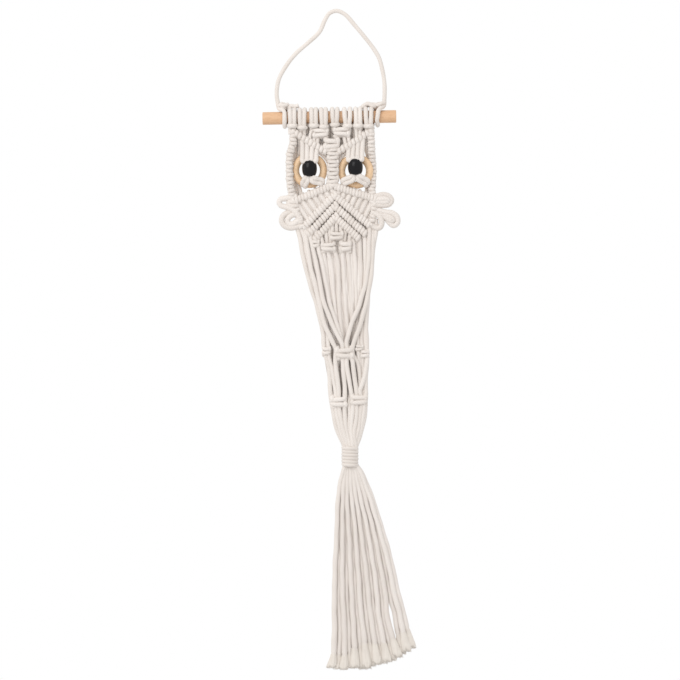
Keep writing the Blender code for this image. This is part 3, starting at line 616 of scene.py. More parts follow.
for side, (ring_x, ring_z, bead_x, bead_z) in EYES.items():
    place("ring_" + side, closed_mesh("ring_" + side, turned_ring(ring_x, ring_z)), maple, "maple",
          "eye_ring_" + side)
    place("bead_" + side, closed_mesh("bead_" + side, barrel_bead(bead_x, bead_z), False), black_bead,
          "black_bead", "eye_bead_" + side)

# %% [markdown]
# ## Square knots
#
# A square knot has two working cords and a pair of core cords between them.  One working cord
# is the bar: it crosses in front to the other side and then back again.  The other one passes
# over the bar's end, behind the core, and out over the bar's return on the far side.  Both
# paths are written once in the knot's own units, and every knot of the owl is that pair of
# paths stretched to its width, depth and height.

# %% Square knots
BAR_PATH = np.array([
    # across, front (-1) to back (1), quarter heights
    (-1.0, 0.1, 2.0), (-0.92, -0.6, 1.3), (-0.45, -1.1, 1.06), (0.0, -1.2, 1.0), (0.45, -1.1, 0.94),
    (0.92, -0.5, 0.72), (1.0, 0.2, 0.0), (0.92, -0.6, -0.7), (0.45, -1.1, -0.94), (0.0, -1.2, -1.0),
    (-0.45, -1.1, -1.06), (-0.92, -0.5, -1.3), (-1.0, 0.1, -2.0)])
LOOP_PATH = np.array([
    (1.0, 0.1, 2.0), (1.04, -0.6, 1.5), (1.06, -0.9, 0.95), (0.96, -0.2, 0.3), (0.55, 0.7, 0.1),
    (0.0, 1.0, 0.0), (-0.55, 0.7, -0.1), (-0.96, -0.2, -0.4), (-1.06, -0.9, -0.98), (-1.0, -0.3, -1.5),
    (-0.5, 0.7, -1.7), (0.3, 0.9, -1.8), (1.0, 0.1, -2.0)])


def square_knots(yarn, x, z, width, height, y=SHEET_Y, depth=8.0, times=1, hand=1, lean=0.0, run=2.6):
    """Square knots one under the other, from z + height / 2 down to z - height / 2."""
    quarter = height / times / 4
    radius = quarter * 0.98
    reach = width / 2 - radius
    half_depth = depth / 2 - radius
    for path in (BAR_PATH, LOOP_PATH):
        down = np.vstack([path[(1 if k else 0):] - (0, 0, 4 * k) for k in range(times)])
        points = np.stack([x + hand * reach * down[:, 0], y + half_depth * down[:, 1],
                           z + height / 2 + quarter * (down[:, 2] - 2)], axis=1)
        points[:, 0] += lean * (points[:, 2] - z)
        top = points[0] + (-0.5 * np.sign(points[0, 0] - x), run, 0.8)
        foot = points[-1] + (-0.5 * np.sign(points[-1, 0] - x), run, -0.8)
        yarn.cord(through(np.vstack([top, points, foot]), 0.9), radius, wobble=0.06)
    thick = np.clip(reach * 0.52, 1.6, 2.7)
    half = height / 2 - 0.4
    for core in (-1, 1):
        yarn.cord(through([(x + core * thick * 0.98 + lean * k, y + 0.8, z + k)
                           for k in (half, 0, -half)]), thick)


# %% [markdown]
# ## Double half hitches
#
# A slanting bar of the owl is a holding cord that lies along the bar, and each cord that meets
# it goes round it twice.  Seen from the front that gives two turns side by side, and the next
# cord follows close to them.  One hitch is a helix about the holding cord: it comes from above,
# passes in front twice, and leaves below.

# %% Rows of hitches
FRONT = np.array([0.0, -1.0, 0.0])


def squared(wave, power=0.62):
    """A wave with flatter tops and steeper sides: sign(w) |w|^power."""
    return np.sign(wave) * np.abs(wave) ** power


def hitch_row(yarn, start, end, cords, y=SHEET_Y, high=1.95, deep=2.5, radius=1.95, lead=(3.0, 1.4),
              bend=0.0):
    """Cords hitched on a holding cord, each one a helix with flattened waves.

    Its point is start + e s + n high cos t - Y deep sin t, for t = 0 to 3 pi, where e runs along
    the row, n stands on it in the plane of the cloth, and s grows by one pitch for each turn.
    """
    a, b = np.array([start[0], y, start[1]]), np.array([end[0], y, end[1]])
    along = unit(b - a)
    above = np.array([-along[2], 0, along[0]])
    above = above * (1 if above[2] > 0 else -1)
    length = np.linalg.norm(b - a)
    pitch = length / (2 * cords)
    yarn.cord(spaced(np.stack([a - along, a, (a + b) / 2, b, b + along])), high)
    for k in range(cords):
        t = np.linspace(0, 3 * np.pi, 34)[:, None]
        s = pitch * (2 * k + 0.25 + t / (2 * np.pi))
        sag = bend * np.sin(np.pi * s / length)
        wide = 1 + rng.uniform(-0.05, 0.05)
        turns = (a + along * s + above * (high * squared(np.cos(t)) + sag)
                 + FRONT * deep * wide * squared(np.sin(t)))
        came = turns[0] + (0, lead[0], lead[1])
        left = turns[-1] + (0, lead[0], -lead[1])
        yarn.cord(through(np.vstack([came, turns, left]), 0.8), radius * wide, sides=10, wobble=0.05)


# %% [markdown]
# ## Chains of half hitches
#
# At each side of the head two cords take turns: one runs straight while the other makes a half
# hitch round it, and then they change.  Each hitch is one turn of a helix whose radius swells
# and fades, so the chain has a knob for each hitch, first on one side and then on the other.

# %% Chains
def hitch_chain(yarn, route, pitch=3.9, coil=2.6, radius=1.95):
    """Two cords about a route, which hitch round it in turn.

    With p the share of a hitch, the cord that is turning lies off the route by about
    coil sin(pi p)^0.45 (cos, sin) of one turn.  The other one rests beside the route.
    """
    line = through(route, 0.55)
    length = distances(line)
    turns = max(2, int(round(length[-1] / pitch)))
    s = length / length[-1] * turns
    index = np.minimum(np.floor(s), turns - 1)
    part = s - index
    yarn.cord(line[::2], radius * 1.2)
    tangent = unit(np.gradient(line, axis=0))
    across = unit(np.cross(tangent, -FRONT))
    for cord in (0, 1):
        turning = (index % 2 == cord)[:, None]
        angle = (2 * np.pi * np.clip((part - 0.15) / 0.7, 0, 1) + np.pi * cord)[:, None]
        swell = np.where(turning, np.sin(np.pi * part)[:, None] ** 0.45, 0.0)
        hand = 1 if cord == 0 else -1
        rest = (1 - swell) * 0.8 * hand
        offset = (across * (coil * swell * np.cos(angle) * 1.05 + rest)
                  + FRONT * coil * swell * np.sin(angle) * -hand * 1.1)
        yarn.cord(spaced(line + offset, 0.8), radius, sides=10, wobble=0.05)


# %% [markdown]
# ## The face
#
# Two square knots under the dowel and one between them make the forehead, and below it a sinnet
# of square knots is the beak.  A row of hitches slants down to it from each side as a brow.

# %% Brow, beak and side chains
brow = Yarn()
hitch_row(brow, (-48.0, -116.8), (-12.8, -139.6), 5, high=1.9, radius=2.2, bend=-0.6)
hitch_row(brow, (33.0, -117.6), (-2.4, -139.4), 5, high=1.9, radius=2.2, bend=-0.6)
square_knots(brow, -18.8, -120.2, 16.4, 8.6, y=-5.6, hand=1, depth=9.0)
square_knots(brow, 2.2, -119.2, 17.2, 9.0, y=-5.6, hand=-1, depth=9.0)
lay("brow", brow)

beak = Yarn()
square_knots(beak, -8.0, -131.4, 17.0, 10.6, y=-5.8, depth=9.4, hand=1, run=2.0)
square_knots(beak, -7.0, -155.4, 12.4, 39.6, y=-5.2, depth=8.8, times=5, hand=-1, lean=0.012, run=3.0)
lay("beak", beak)

CHAIN_LEFT = ((-45.9, -4.6, -116.0), (-46.8, -4.6, -131.8), (-49.4, -4.6, -139.0), (-50.4, -4.8, -156.7),
              (-49.6, -4.6, -174.7), (-47.4, -4.6, -184.8), (-46.6, -4.6, -194.5))
CHAIN_RIGHT = ((31.4, -4.6, -116.0), (31.8, -3.6, -134.0), (32.2, 1.2, -146.0), (33.0, 4.4, -158.0),
               (32.2, 1.4, -170.0), (31.5, -3.2, -181.0), (31.8, -4.4, -190.0))
chains = Yarn()
hitch_chain(chains, CHAIN_LEFT)
hitch_chain(chains, CHAIN_RIGHT)
lay("side_chains", chains)

# %% [markdown]
# ## Cords between the knots
#
# Between two rows of knots the cords simply run from one to the next.  Each is read from a short
# table: where it leaves the upper knot and where it reaches the lower one, in front view.  Behind
# the forehead stands a layer of cords darkened with painted shade, which gives the gaps between
# its knots their shade.
# Three more cords pass behind the rings, and two fill the corners beside the beak.

# %% Short cords of the face
SHORT_CORDS = (
    # from x, z to x, z
    (-38.7, -119.0, -39.2, -126.4), (-35.1, -119.0, -35.2, -129.2), (-28.0, -117.6, -31.2, -131.6),
    (-24.6, -123.0, -27.2, -134.4), (-21.4, -124.0, -23.2, -137.4), (-27.4, -117.2, -27.0, -119.4),
    (-23.4, -117.2, -24.0, -119.0), (-17.4, -118.0, -17.0, -120.0), (-13.8, -118.0, -13.4, -120.0),
    (-15.6, -123.5, -13.6, -128.0), (-1.8, -121.5, -3.2, -128.0), (-5.8, -116.6, -5.0, -119.0),
    (4.4, -122.5, 6.4, -137.7), (8.2, -122.5, 11.2, -134.4), (6.4, -118.0, 6.6, -120.0),
    (9.8, -118.0, 9.6, -120.0), (16.9, -118.0, 17.4, -130.0), (20.7, -118.0, 20.6, -127.6),
    (27.6, -118.4, 26.4, -124.9), (-48.9, -117.0, -49.2, -121.0), (-44.9, -117.0, -45.4, -122.5),
    (31.2, -118.4, 31.0, -122.5), (-13.4, -134.0, -17.2, -141.4), (-1.6, -134.0, 1.0, -140.6),
)
FACE_TOP = ((-48, -112), (34, -112))
FACE_FOOT = ((-46, -121), (-30, -134), (-16, -141), (-8, -138), (0, -141), (16, -132), (31, -121))
# the layer behind the forehead gets a low value: its cords are darkened as painted shade
CHEEK_R, LAYER_R, LAYER_PAINTED_SHADE = R * 1.05, R * 1.08, -1.2
CHEEKS = (
    # cords that pass behind a ring or fill the corner beside the beak: x, y, z
    ((-44.0, -4.4, -121.0), (-44.0, -1.0, -125.0), (-44.4, 1.4, -136.0), (-45.8, 5.4, -150.0),
     (-46.0, 5.6, -166.0), (-44.4, 3.0, -178.0), (-43.4, -1.0, -187.0), (-43.2, -4.2, -191.0)),
    ((-40.0, -4.4, -124.6), (-40.0, -1.0, -128.6), (-40.4, 1.4, -137.0), (-42.6, 5.4, -148.0),
     (-42.8, 5.6, -166.0), (-40.0, 3.0, -178.0), (-39.4, -1.0, -185.0), (-39.2, -4.2, -188.6)),
    ((27.0, -4.4, -122.0), (27.0, -1.0, -126.0), (27.0, 1.4, -136.0), (28.6, 5.4, -148.0),
     (28.6, 5.6, -166.0), (26.8, 3.0, -178.0), (26.4, -1.0, -185.0), (26.2, -4.2, -188.6)),
    ((-21.0, -2.6, -138.6), (-16.8, -1.2, -142.0), (-13.4, -0.4, -145.8), (-10.0, 0.2, -151.5)),
    ((8.6, -2.6, -138.2), (4.6, -1.2, -141.4), (1.4, -0.4, -145.4), (-2.2, 0.2, -151.0)),
)


def straight(yarn, x0, z0, x1, z1, y=SHEET_Y, radius=R * 0.92, bow=0.3, tone_and_shade=None):
    """A cord between two places of the front view, bowed a little towards the viewer."""
    middle = ((x0 + x1) / 2, y - bow, (z0 + z1) / 2)
    yarn.cord(through([(x0, y + 0.3, z0), middle, (x1, y + 0.3, z1)]), radius, tone_and_shade=tone_and_shade)


def layer(yarn, places, top, foot, y=-0.4):
    """Upright cords behind the knots, darkened with painted shade.  Both ends bend forward into an outline
    of the front view.
    """
    for x in places:
        high, low = np.interp(x, *np.transpose(top)), np.interp(x, *np.transpose(foot))
        yarn.cord(through([(x, y - 3.2, high + 1.0), (x, y, high - 2.6), (x, y, low + 2.6),
                           (x, y - 3.2, low - 1.0)]), LAYER_R, tone_and_shade=LAYER_PAINTED_SHADE)


face = Yarn()
for row in SHORT_CORDS:
    straight(face, *row)
layer(face, np.arange(-45.5, 33.0, 4.3), FACE_TOP, FACE_FOOT)
for route in CHEEKS:
    face.cord(through(route), CHEEK_R)
lay("face_cords", face)

# %% [markdown]
# ## Cords through the eyes
#
# Four cords leave the brow side by side, lie over the front of the ring and dive together into
# the bead.  They come out below it as two pairs, which spread over the ring's lower edge like
# the two sides of a tent.

# %% Eye cords
EYE_CORD_R = R * 1.17
ON_RING, ABOVE_MOUTH, IN_MOUTH, IN_BORE = 6.8, 6.4, 3.4, 1.5   # from the middle to the outer cords
EYE_CORDS = {
    # first and last cord at the brow, then where the two lower pairs land: x, y, z
    "left": ((-37.4, -127.0), (-22.6, -135.6), (-36.2, -6.6, -170.8), (-18.4, -6.6, -169.4)),
    "right": ((9.2, -134.0), (23.4, -125.8), (3.8, -6.6, -169.6), (26.4, -6.6, -170.4)),
}


def eye_cords(yarn, side):
    """The four cords of one eye, each in one run from the brow to the breast.

    A cord's points in turn: the brow, the front of the ring, two at the bead's mouth, two in its
    bore, one at its foot, and four down the side of the tent, the last one behind the breast.
    """
    ring_x, ring_z, bead_x, bead_z = EYES[side]
    first, last, land_left, land_right = EYE_CORDS[side]
    over = RING_Y - RING_BAND / 2 - R * 0.95
    middle = RING_OUTSIDE / 2 - RING_BAND / 2
    mouth, foot = bead_z + BEAD_HEIGHT / 2, bead_z - BEAD_HEIGHT / 2
    for k in range(4):
        spread = k / 1.5 - 1
        top = (first[0] + (last[0] - first[0]) * k / 3, SHEET_Y - 0.4,
               first[1] + (last[1] - first[1]) * k / 3)
        sign = -1 if k < 2 else 1
        start = np.array([bead_x + sign * 1.7, BEAD_Y - 1.6, foot - 0.6])
        land = np.array(land_left if k < 2 else land_right)
        fall = unit(land - start)
        beside = np.array([-fall[2], 0, fall[0]]) * (2.15 if k % 2 else -2.15)
        hug = np.array([sign * 1.2, -0.6, -3.0] if k in (1, 2) else [sign * 2.3, -0.6, -2.2])
        yarn.cord(through([
            top, (bead_x + spread * ON_RING, over - 0.1, ring_z + middle + 1.0),
            (bead_x + spread * ABOVE_MOUTH, BEAD_Y - 2.8, mouth + 0.4 - abs(spread) * 1.4),
            (bead_x + spread * IN_MOUTH, BEAD_Y - 0.9, mouth - 0.6 + (1 - abs(spread)) * 1.6),
            (bead_x + spread * IN_BORE, BEAD_Y, mouth - 3.0),
            (bead_x + spread * IN_BORE, BEAD_Y, foot + 3.0),
            start + (0, 1.0, 1.2), start + beside * 0.6 + hug,
            start * 0.4 + land * 0.6 + beside + (sign * 0.5, 0, -1.0), land + beside * 0.95,
            land + beside * 0.6 + (0, 2.6, -2.4)]), EYE_CORD_R)


eyes = Yarn()
for side in EYES:
    eye_cords(eyes, side)
lay("eye_cords", eyes)

# %% [markdown]
# ## The breast
#
# Four chevrons of hitches lie one inside the other.  A wedge is left open between the first two,
# and the knotting cords cross it side by side on a slant.  The others lie so close that only
# the dark dots between two hitches show where one row ends.

# %% Breast
BARS = {
    # upper end x, z, lower end x, z, cords, y
    "top_left": ((-4.6, -171.6), (-48.6, -188.8), 7, -4.9),
    "top_right": ((-6.0, -173.8), (36.2, -187.6), 7, -5.1),
    "second_left": ((-3.4, -180.4), (-38.4, -215.2), 7, -4.7),
    "second_right": ((-6.2, -182.4), (29.2, -213.5), 7, -4.9),
    "third_left": ((-3.0, -190.8), (-34.1, -222.4), 6, -4.7),
    "third_right": ((-5.2, -194.0), (25.2, -222.5), 6, -4.9),
    "fourth_left": ((-2.6, -201.6), (-27.0, -227.6), 5, -4.7),
    "fourth_right": ((-5.0, -205.0), (18.1, -226.7), 5, -4.9),
}
WEDGE_CORDS, WEDGE_R = 14, R * 1.22
WEDGE_BEHIND = 2.2              # every second cord of the wedge lies this much further back
breast = Yarn()
for (upper, lower, cords, y) in BARS.values():
    hitch_row(breast, upper, lower, cords, y=y, high=2.12)
for side in ("left", "right"):
    (a, b, _, _), (c, d, _, _) = BARS["top_" + side], BARS["second_" + side]
    for k in range(WEDGE_CORDS):
        share = (k + 1.6) / (WEDGE_CORDS + 1)
        lower_share = share * 0.94
        straight(breast, a[0] + (b[0] - a[0]) * share, a[1] + (b[1] - a[1]) * share - 2.6,
                 c[0] + (d[0] - c[0]) * lower_share, c[1] + (d[1] - c[1]) * lower_share + 4.0,
                 y=SHEET_Y + (WEDGE_BEHIND if k % 2 else 0.0), radius=WEDGE_R)
lay("breast", breast)

# %% [markdown]
# ## The wings
#
# A wing is a picot: a loop of cord pulled out to the side between two knots and left slack.
# Each loop is one smooth path that starts and ends under the knots beside the breast.

# %% Wings
WING_LOOPS = (
    ((-43.4, -4.4, -182.8), (-48.4, -5.2, -184.2), (-54.4, -5.0, -185.0), (-59.4, -4.4, -185.8),
     (-61.4, -4.0, -189.0), (-59.5, -4.2, -192.2), (-54.0, -5.0, -193.7), (-48.6, -6.2, -195.8),
     (-44.2, -6.6, -200.3), (-41.2, -5.6, -205.9)),
    ((-43.5, -5.6, -187.8), (-49.5, -5.6, -188.3), (-51.9, -4.6, -190.1), (-49.1, -5.4, -192.2),
     (-43.5, -6.0, -192.8)),
    ((-42.6, -3.4, -197.4), (-49.0, -4.2, -198.4), (-54.6, -4.4, -200.1), (-58.3, -4.4, -203.2),
     (-59.0, -4.4, -208.2), (-56.1, -4.6, -212.6), (-50.4, -5.0, -214.6), (-43.9, -5.0, -213.4),
     (-38.8, -4.8, -210.9)),
    ((-44.7, -5.6, -200.4), (-49.3, -5.8, -202.4), (-53.3, -5.0, -206.3), (-52.6, -4.8, -209.7),
     (-48.4, -5.6, -210.8), (-43.2, -6.4, -208.0), (-38.7, -5.4, -205.3)),
    ((30.6, -4.4, -185.4), (37.1, -5.0, -184.1), (43.2, -4.8, -183.2), (48.8, -4.2, -185.1),
     (51.1, -3.9, -188.9), (48.5, -4.4, -192.5), (42.5, -4.9, -193.4), (35.9, -5.4, -193.1),
     (30.5, -5.0, -194.0)),
    ((30.6, -5.6, -188.0), (37.6, -6.4, -187.7), (44.4, -6.2, -187.2), (48.1, -5.4, -188.9),
     (44.1, -6.0, -190.2), (37.5, -6.2, -189.9), (30.5, -5.6, -190.4)),
    ((30.4, -4.2, -197.4), (37.4, -4.8, -198.3), (44.8, -4.9, -200.4), (51.7, -5.0, -201.7),
     (56.3, -4.8, -205.6), (56.8, -4.6, -210.8), (53.1, -4.4, -213.8), (48.8, -4.6, -210.9),
     (44.5, -5.2, -206.0), (38.9, -5.6, -203.1), (31.3, -5.2, -201.6)),
    ((42.0, -5.6, -203.4), (48.4, -5.8, -205.4), (52.2, -5.6, -208.0), (51.4, -5.4, -209.6),
     (47.6, -5.6, -207.8), (43.2, -5.8, -204.6)),
    ((30.3, -5.4, -201.0), (36.3, -6.4, -202.7), (40.1, -6.6, -206.8), (40.9, -6.2, -212.0),
     (38.3, -5.6, -215.9), (33.9, -5.2, -215.1), (29.2, -5.0, -211.4)),
)
WING_R = R * 1.38
WING_CHAINS = (((-45.2, -5.0, -190.0), (-42.6, -5.0, -202.0), (-38.6, -5.0, -214.6)),
               ((33.6, -4.8, -186.0), (33.4, -4.8, -200.0), (29.6, -4.8, -213.6)))
wings = Yarn()
for route in WING_LOOPS:
    wings.cord(through(route), WING_R)
for route in WING_CHAINS:
    hitch_chain(wings, route, pitch=4.0)
square_knots(wings, -47.2, -191.2, 10.4, 7.8, y=-5.2, depth=7.6)
lay("wings", wings)

# %% [markdown]
# ## Belly and tail
#
# Below the breast most ends hang nearly straight to the first row of tail knots.  Two from each
# side cross in front of the others in a tall V that ends at the middle knot.  Each of the sixteen
# ends has its own route in the table, from the breast by way of both rows of knots into the wrap.

# %% Tail cords
WRAP_TOP, WRAP_FOOT, WRAP_Y = (5.7, -432.6), (5.3, -455.6), -4.2
TAIL_ROUTES = (
    ((-44.0, -4.2, -206.0), (-43.4, -3.6, -215.8), (-40.6, -3.8, -227.6), (-38.9, -3.8, -240.6),
     (-35.5, -3.6, -253.7), (-30.6, -3.4, -275.4), (-26.6, -3.4, -287.1), (-23.4, -3.8, -298.2),
     (-20.9, -4.2, -307.6), (-19.3, -4.6, -318.9), (-18.9, -5.0, -332.2), (-16.9, -4.8, -344.3),
     (-13.9, -4.6, -355.3), (-13.2, -4.6, -366.5), (-13.5, -4.8, -374.3), (-12.4, -5.2, -385.4),
     (-11.3, -5.2, -395.4), (-7.8, -4.6, -413.3), (-3.8, -4.4, -424.5), (0.1, -4.2, -434.6),
     (0.2, -4.2, -440.6)),
    ((-40.8, -2.8, -206.2), (-39.3, -4.4, -214.9), (-36.1, -4.2, -227.7), (-33.9, -3.8, -242.0),
     (-30.5, -3.4, -257.1), (-26.4, -3.0, -271.1), (-22.6, -2.6, -285.9), (-19.2, -2.8, -297.2),
     (-16.5, -3.4, -307.7), (-15.1, -4.4, -320.3), (-14.7, -5.2, -333.3), (-13.9, -5.0, -344.3),
     (-11.3, -4.8, -355.4), (-9.3, -5.0, -367.4), (-8.0, -5.4, -377.4), (-8.0, -6.0, -389.4),
     (-7.2, -5.6, -400.4), (-4.4, -5.2, -414.5), (-1.2, -4.6, -425.5), (1.3, -4.6, -434.6),
     (1.4, -4.6, -440.6)),
    ((-36.2, -3.6, -207.7), (-35.6, -5.2, -216.7), (-34.2, -5.6, -230.8), (-31.2, -6.0, -251.1),
     (-27.8, -6.4, -266.8), (-24.6, -6.8, -280.9), (-21.6, -7.2, -295.0), (-18.7, -7.6, -307.5),
     (-15.2, -7.8, -318.5), (-10.2, -7.8, -329.3), (-6.9, -7.6, -336.6), (-7.3, -7.4, -343.4),
     (-7.6, -7.0, -349.4), (-5.8, -6.8, -364.8), (-4.9, -6.8, -381.5), (-4.7, -6.4, -395.5),
     (-2.0, -6.0, -411.5), (1.0, -6.4, -424.6), (3.1, -7.2, -434.6), (3.2, -7.2, -440.6)),
    ((-26.1, -3.8, -214.2), (-24.9, -5.4, -223.0), (-22.8, -5.2, -234.1), (-19.8, -5.2, -248.1),
     (-17.1, -5.2, -263.1), (-15.1, -5.0, -276.4), (-13.1, -5.0, -287.3), (-10.0, -5.0, -298.3),
     (-6.5, -5.2, -309.3), (-3.1, -5.4, -320.3), (-0.8, -5.2, -330.5), (-2.5, -4.0, -343.5),
     (-5.9, -2.0, -353.5), (-6.7, -1.6, -367.4), (-6.1, -2.2, -381.5), (-5.7, -2.6, -395.5),
     (-3.6, -3.0, -413.5), (-0.8, -3.0, -425.5), (1.3, -2.2, -434.6), (1.4, -2.2, -440.6)),
    ((-33.1, -3.8, -212.7), (-31.6, -5.4, -221.4), (-28.9, -5.6, -231.6), (-25.9, -6.0, -247.3),
     (-23.2, -6.6, -263.0), (-20.8, -7.0, -278.6), (-17.9, -7.4, -290.4), (-14.2, -7.6, -300.6),
     (-9.9, -7.8, -312.4), (-5.1, -7.8, -323.1), (-0.5, -7.6, -332.5), (-0.1, -7.6, -343.5),
     (0.2, -7.0, -357.4), (1.1, -6.8, -369.6), (1.1, -6.8, -384.6), (0.9, -6.4, -395.6),
     (1.6, -6.0, -411.6), (3.6, -6.6, -424.6), (5.5, -8.0, -434.6), (5.6, -8.0, -440.6)),
    ((-19.5, -2.2, -228.4), (-18.4, -3.8, -237.2), (-16.2, -3.4, -249.3), (-14.7, -3.2, -264.3),
     (-13.3, -2.8, -280.3), (-12.3, -2.4, -293.3), (-10.7, -2.2, -307.4), (-8.9, -2.0, -321.4),
     (-7.1, -1.0, -333.4), (-5.9, 0.6, -345.4), (-4.7, 1.0, -359.5), (-4.4, 0.6, -373.5),
     (-3.6, -1.4, -387.5), (-1.6, -2.4, -401.5), (0.5, -2.4, -417.6), (2.6, -1.8, -427.6),
     (3.5, -1.2, -434.6), (3.6, -1.2, -440.6)),
    ((-14.5, -2.2, -231.7), (-12.9, -3.8, -240.3), (-10.4, -3.6, -249.4), (-9.3, -3.4, -264.4),
     (-8.5, -3.2, -280.4), (-7.3, -3.0, -293.4), (-5.3, -2.6, -307.5), (-3.2, -2.0, -321.5),
     (-0.9, -1.0, -333.5), (0.2, 0.6, -347.5), (1.2, 0.8, -361.6), (1.6, 0.0, -375.6),
     (1.4, -2.0, -389.6), (0.8, -3.4, -403.6), (1.9, -3.6, -419.6), (3.6, -3.6, -427.6),
     (4.7, -3.4, -434.6), (4.8, -3.4, -440.6)),
    ((-7.6, -2.6, -231.7), (-6.1, -4.2, -240.4), (-3.8, -4.2, -249.5), (-3.0, -4.2, -271.5),
     (-2.9, -4.0, -293.2), (-2.1, -3.8, -306.2), (-0.2, -3.0, -321.5), (2.2, -1.4, -334.6),
     (4.2, 0.4, -347.6), (6.0, 0.4, -363.6), (6.6, -1.4, -377.6), (5.8, -4.6, -389.6),
     (5.8, -5.4, -401.6), (4.9, -5.6, -415.6), (5.0, -5.4, -425.6), (7.1, -4.6, -434.7),
     (7.2, -4.6, -440.7)),
    ((1.1, -2.4, -230.6), (1.3, -4.0, -239.6), (1.9, -3.8, -251.6), (2.3, -3.6, -267.6),
     (3.3, -3.4, -288.9), (4.7, -3.2, -306.3), (5.8, -2.8, -322.6), (4.6, -4.6, -335.6),
     (3.5, -7.2, -344.6), (4.5, -7.0, -358.4), (6.1, -6.8, -369.6), (7.9, -6.8, -380.7),
     (8.9, -6.6, -391.7), (8.3, -6.2, -405.7), (6.9, -6.4, -419.7), (8.0, -7.4, -428.7),
     (8.3, -8.0, -434.7), (8.4, -8.0, -440.7)),
    ((5.5, -2.4, -228.7), (6.2, -4.0, -237.6), (7.7, -3.6, -251.7), (8.8, -3.0, -271.7),
     (10.1, -2.6, -292.7), (11.2, -2.2, -312.7), (11.7, -1.0, -332.7), (12.0, 0.2, -347.7),
     (13.8, 0.2, -363.8), (14.9, -1.2, -379.8), (13.7, -2.2, -393.8), (11.1, -2.6, -407.7),
     (8.5, -2.4, -421.7), (7.3, -0.8, -434.7), (7.4, -0.8, -440.7)),
    ((28.4, -3.2, -209.0), (28.3, -4.8, -218.0), (28.1, -5.2, -233.0), (27.3, -5.8, -246.0),
     (25.6, -6.4, -259.9), (23.4, -7.0, -271.9), (20.0, -7.4, -284.3), (16.8, -7.8, -294.2),
     (12.7, -8.0, -302.9), (9.2, -8.0, -311.6), (5.7, -7.8, -321.9), (3.6, -7.6, -331.1),
     (5.8, -7.8, -339.6), (9.1, -7.4, -346.7), (10.2, -7.0, -355.7), (11.7, -6.8, -369.7),
     (13.0, -6.8, -381.8), (13.3, -6.4, -395.8), (11.9, -6.2, -409.7), (9.6, -6.6, -423.7),
     (10.9, -7.0, -434.7), (11.0, -7.0, -440.7)),
    ((32.5, -2.6, -215.0), (32.2, -4.2, -224.0), (31.6, -4.6, -238.0), (30.3, -5.2, -252.0),
     (28.7, -6.2, -268.5), (26.3, -6.8, -280.9), (23.9, -7.2, -291.8), (20.6, -7.6, -302.2),
     (17.5, -7.8, -312.5), (13.6, -7.8, -323.8), (10.1, -7.6, -334.2), (9.7, -6.4, -341.7),
     (14.4, -4.6, -349.8), (16.4, -4.4, -363.8), (17.0, -5.0, -377.8), (17.8, -6.0, -389.8),
     (16.8, -6.0, -401.8), (14.4, -5.8, -415.8), (11.6, -5.6, -427.7), (11.3, -5.0, -434.7),
     (11.4, -5.0, -440.7)),
    ((11.9, -2.4, -225.8), (12.4, -4.0, -234.7), (13.8, -3.6, -249.7), (14.1, -3.0, -271.8),
     (14.7, -2.6, -292.8), (15.2, -2.6, -312.8), (15.1, -4.4, -329.8), (15.4, -4.6, -339.8),
     (17.3, -2.6, -353.8), (17.9, -2.6, -367.8), (17.5, -4.0, -381.8), (17.9, -3.4, -393.8),
     (16.1, -3.2, -407.8), (12.7, -3.0, -421.8), (10.1, -1.8, -434.7), (10.2, -1.8, -440.7)),
    ((18.2, -2.6, -222.8), (18.5, -4.2, -231.8), (19.4, -3.6, -249.8), (19.4, -3.0, -271.8),
     (19.5, -2.6, -292.8), (19.4, -3.0, -312.8), (18.7, -4.8, -329.8), (19.5, -5.0, -341.8),
     (20.5, -3.4, -353.9), (20.3, -3.2, -367.9), (19.9, -4.0, -381.9), (19.9, -3.6, -393.9),
     (17.7, -3.8, -407.8), (13.9, -3.8, -421.8), (11.2, -3.4, -434.7), (11.2, -3.4, -440.7)),
    ((23.6, -2.6, -219.9), (23.7, -4.2, -228.9), (24.1, -4.0, -243.9), (23.6, -3.4, -263.9),
     (22.8, -3.0, -283.9), (22.7, -3.2, -303.9), (22.8, -4.2, -321.9), (23.2, -5.2, -337.9),
     (24.0, -5.8, -348.9), (22.2, -6.6, -359.9), (19.1, -7.0, -370.8), (16.3, -6.8, -379.8),
     (19.8, -6.2, -389.9), (19.8, -5.6, -399.9), (17.6, -5.2, -411.8), (14.0, -4.8, -424.8),
     (9.9, -3.6, -434.7), (10.0, -3.6, -440.7)),
    ((34.9, -4.4, -207.0), (35.1, -3.8, -217.1), (33.3, -4.0, -228.1), (31.6, -4.0, -240.0),
     (29.8, -3.8, -252.0), (28.7, -3.4, -266.0), (26.7, -3.2, -278.0), (24.4, -3.4, -288.9),
     (23.6, -3.8, -306.6), (23.6, -4.4, -321.9), (23.9, -4.8, -333.9), (24.1, -4.6, -343.9),
     (23.7, -4.6, -353.9), (22.7, -4.6, -363.9), (22.2, -4.8, -375.9), (21.8, -5.2, -387.9),
     (21.4, -4.8, -398.9), (19.4, -4.4, -410.9), (15.6, -4.0, -423.8), (11.3, -5.2, -434.7),
     (11.0, -5.2, -440.7)),
)
TAIL_R, TAIL_STEP = R * 1.12, 1.5
tail = Yarn()
for route in TAIL_ROUTES:
    tail.cord(through(route, TAIL_STEP), TAIL_R, wobble=0.15)
lay("tail_cords", tail)

# %% [markdown]
# ## Cords behind the breast and the tail
#
# Between the tail cords the photograph shows more cotton in shade.  So plain cords run down behind
# them, from the first chevron to the wrap, evenly spread between two edges.  Their colour carries
# painted shade like the gaps in the photograph: light in the upper tail, darkest between its two
# rows of knots, and a little darker towards the left.  That painted shade is meant for the front,
# and from behind it shows as a step in shade.

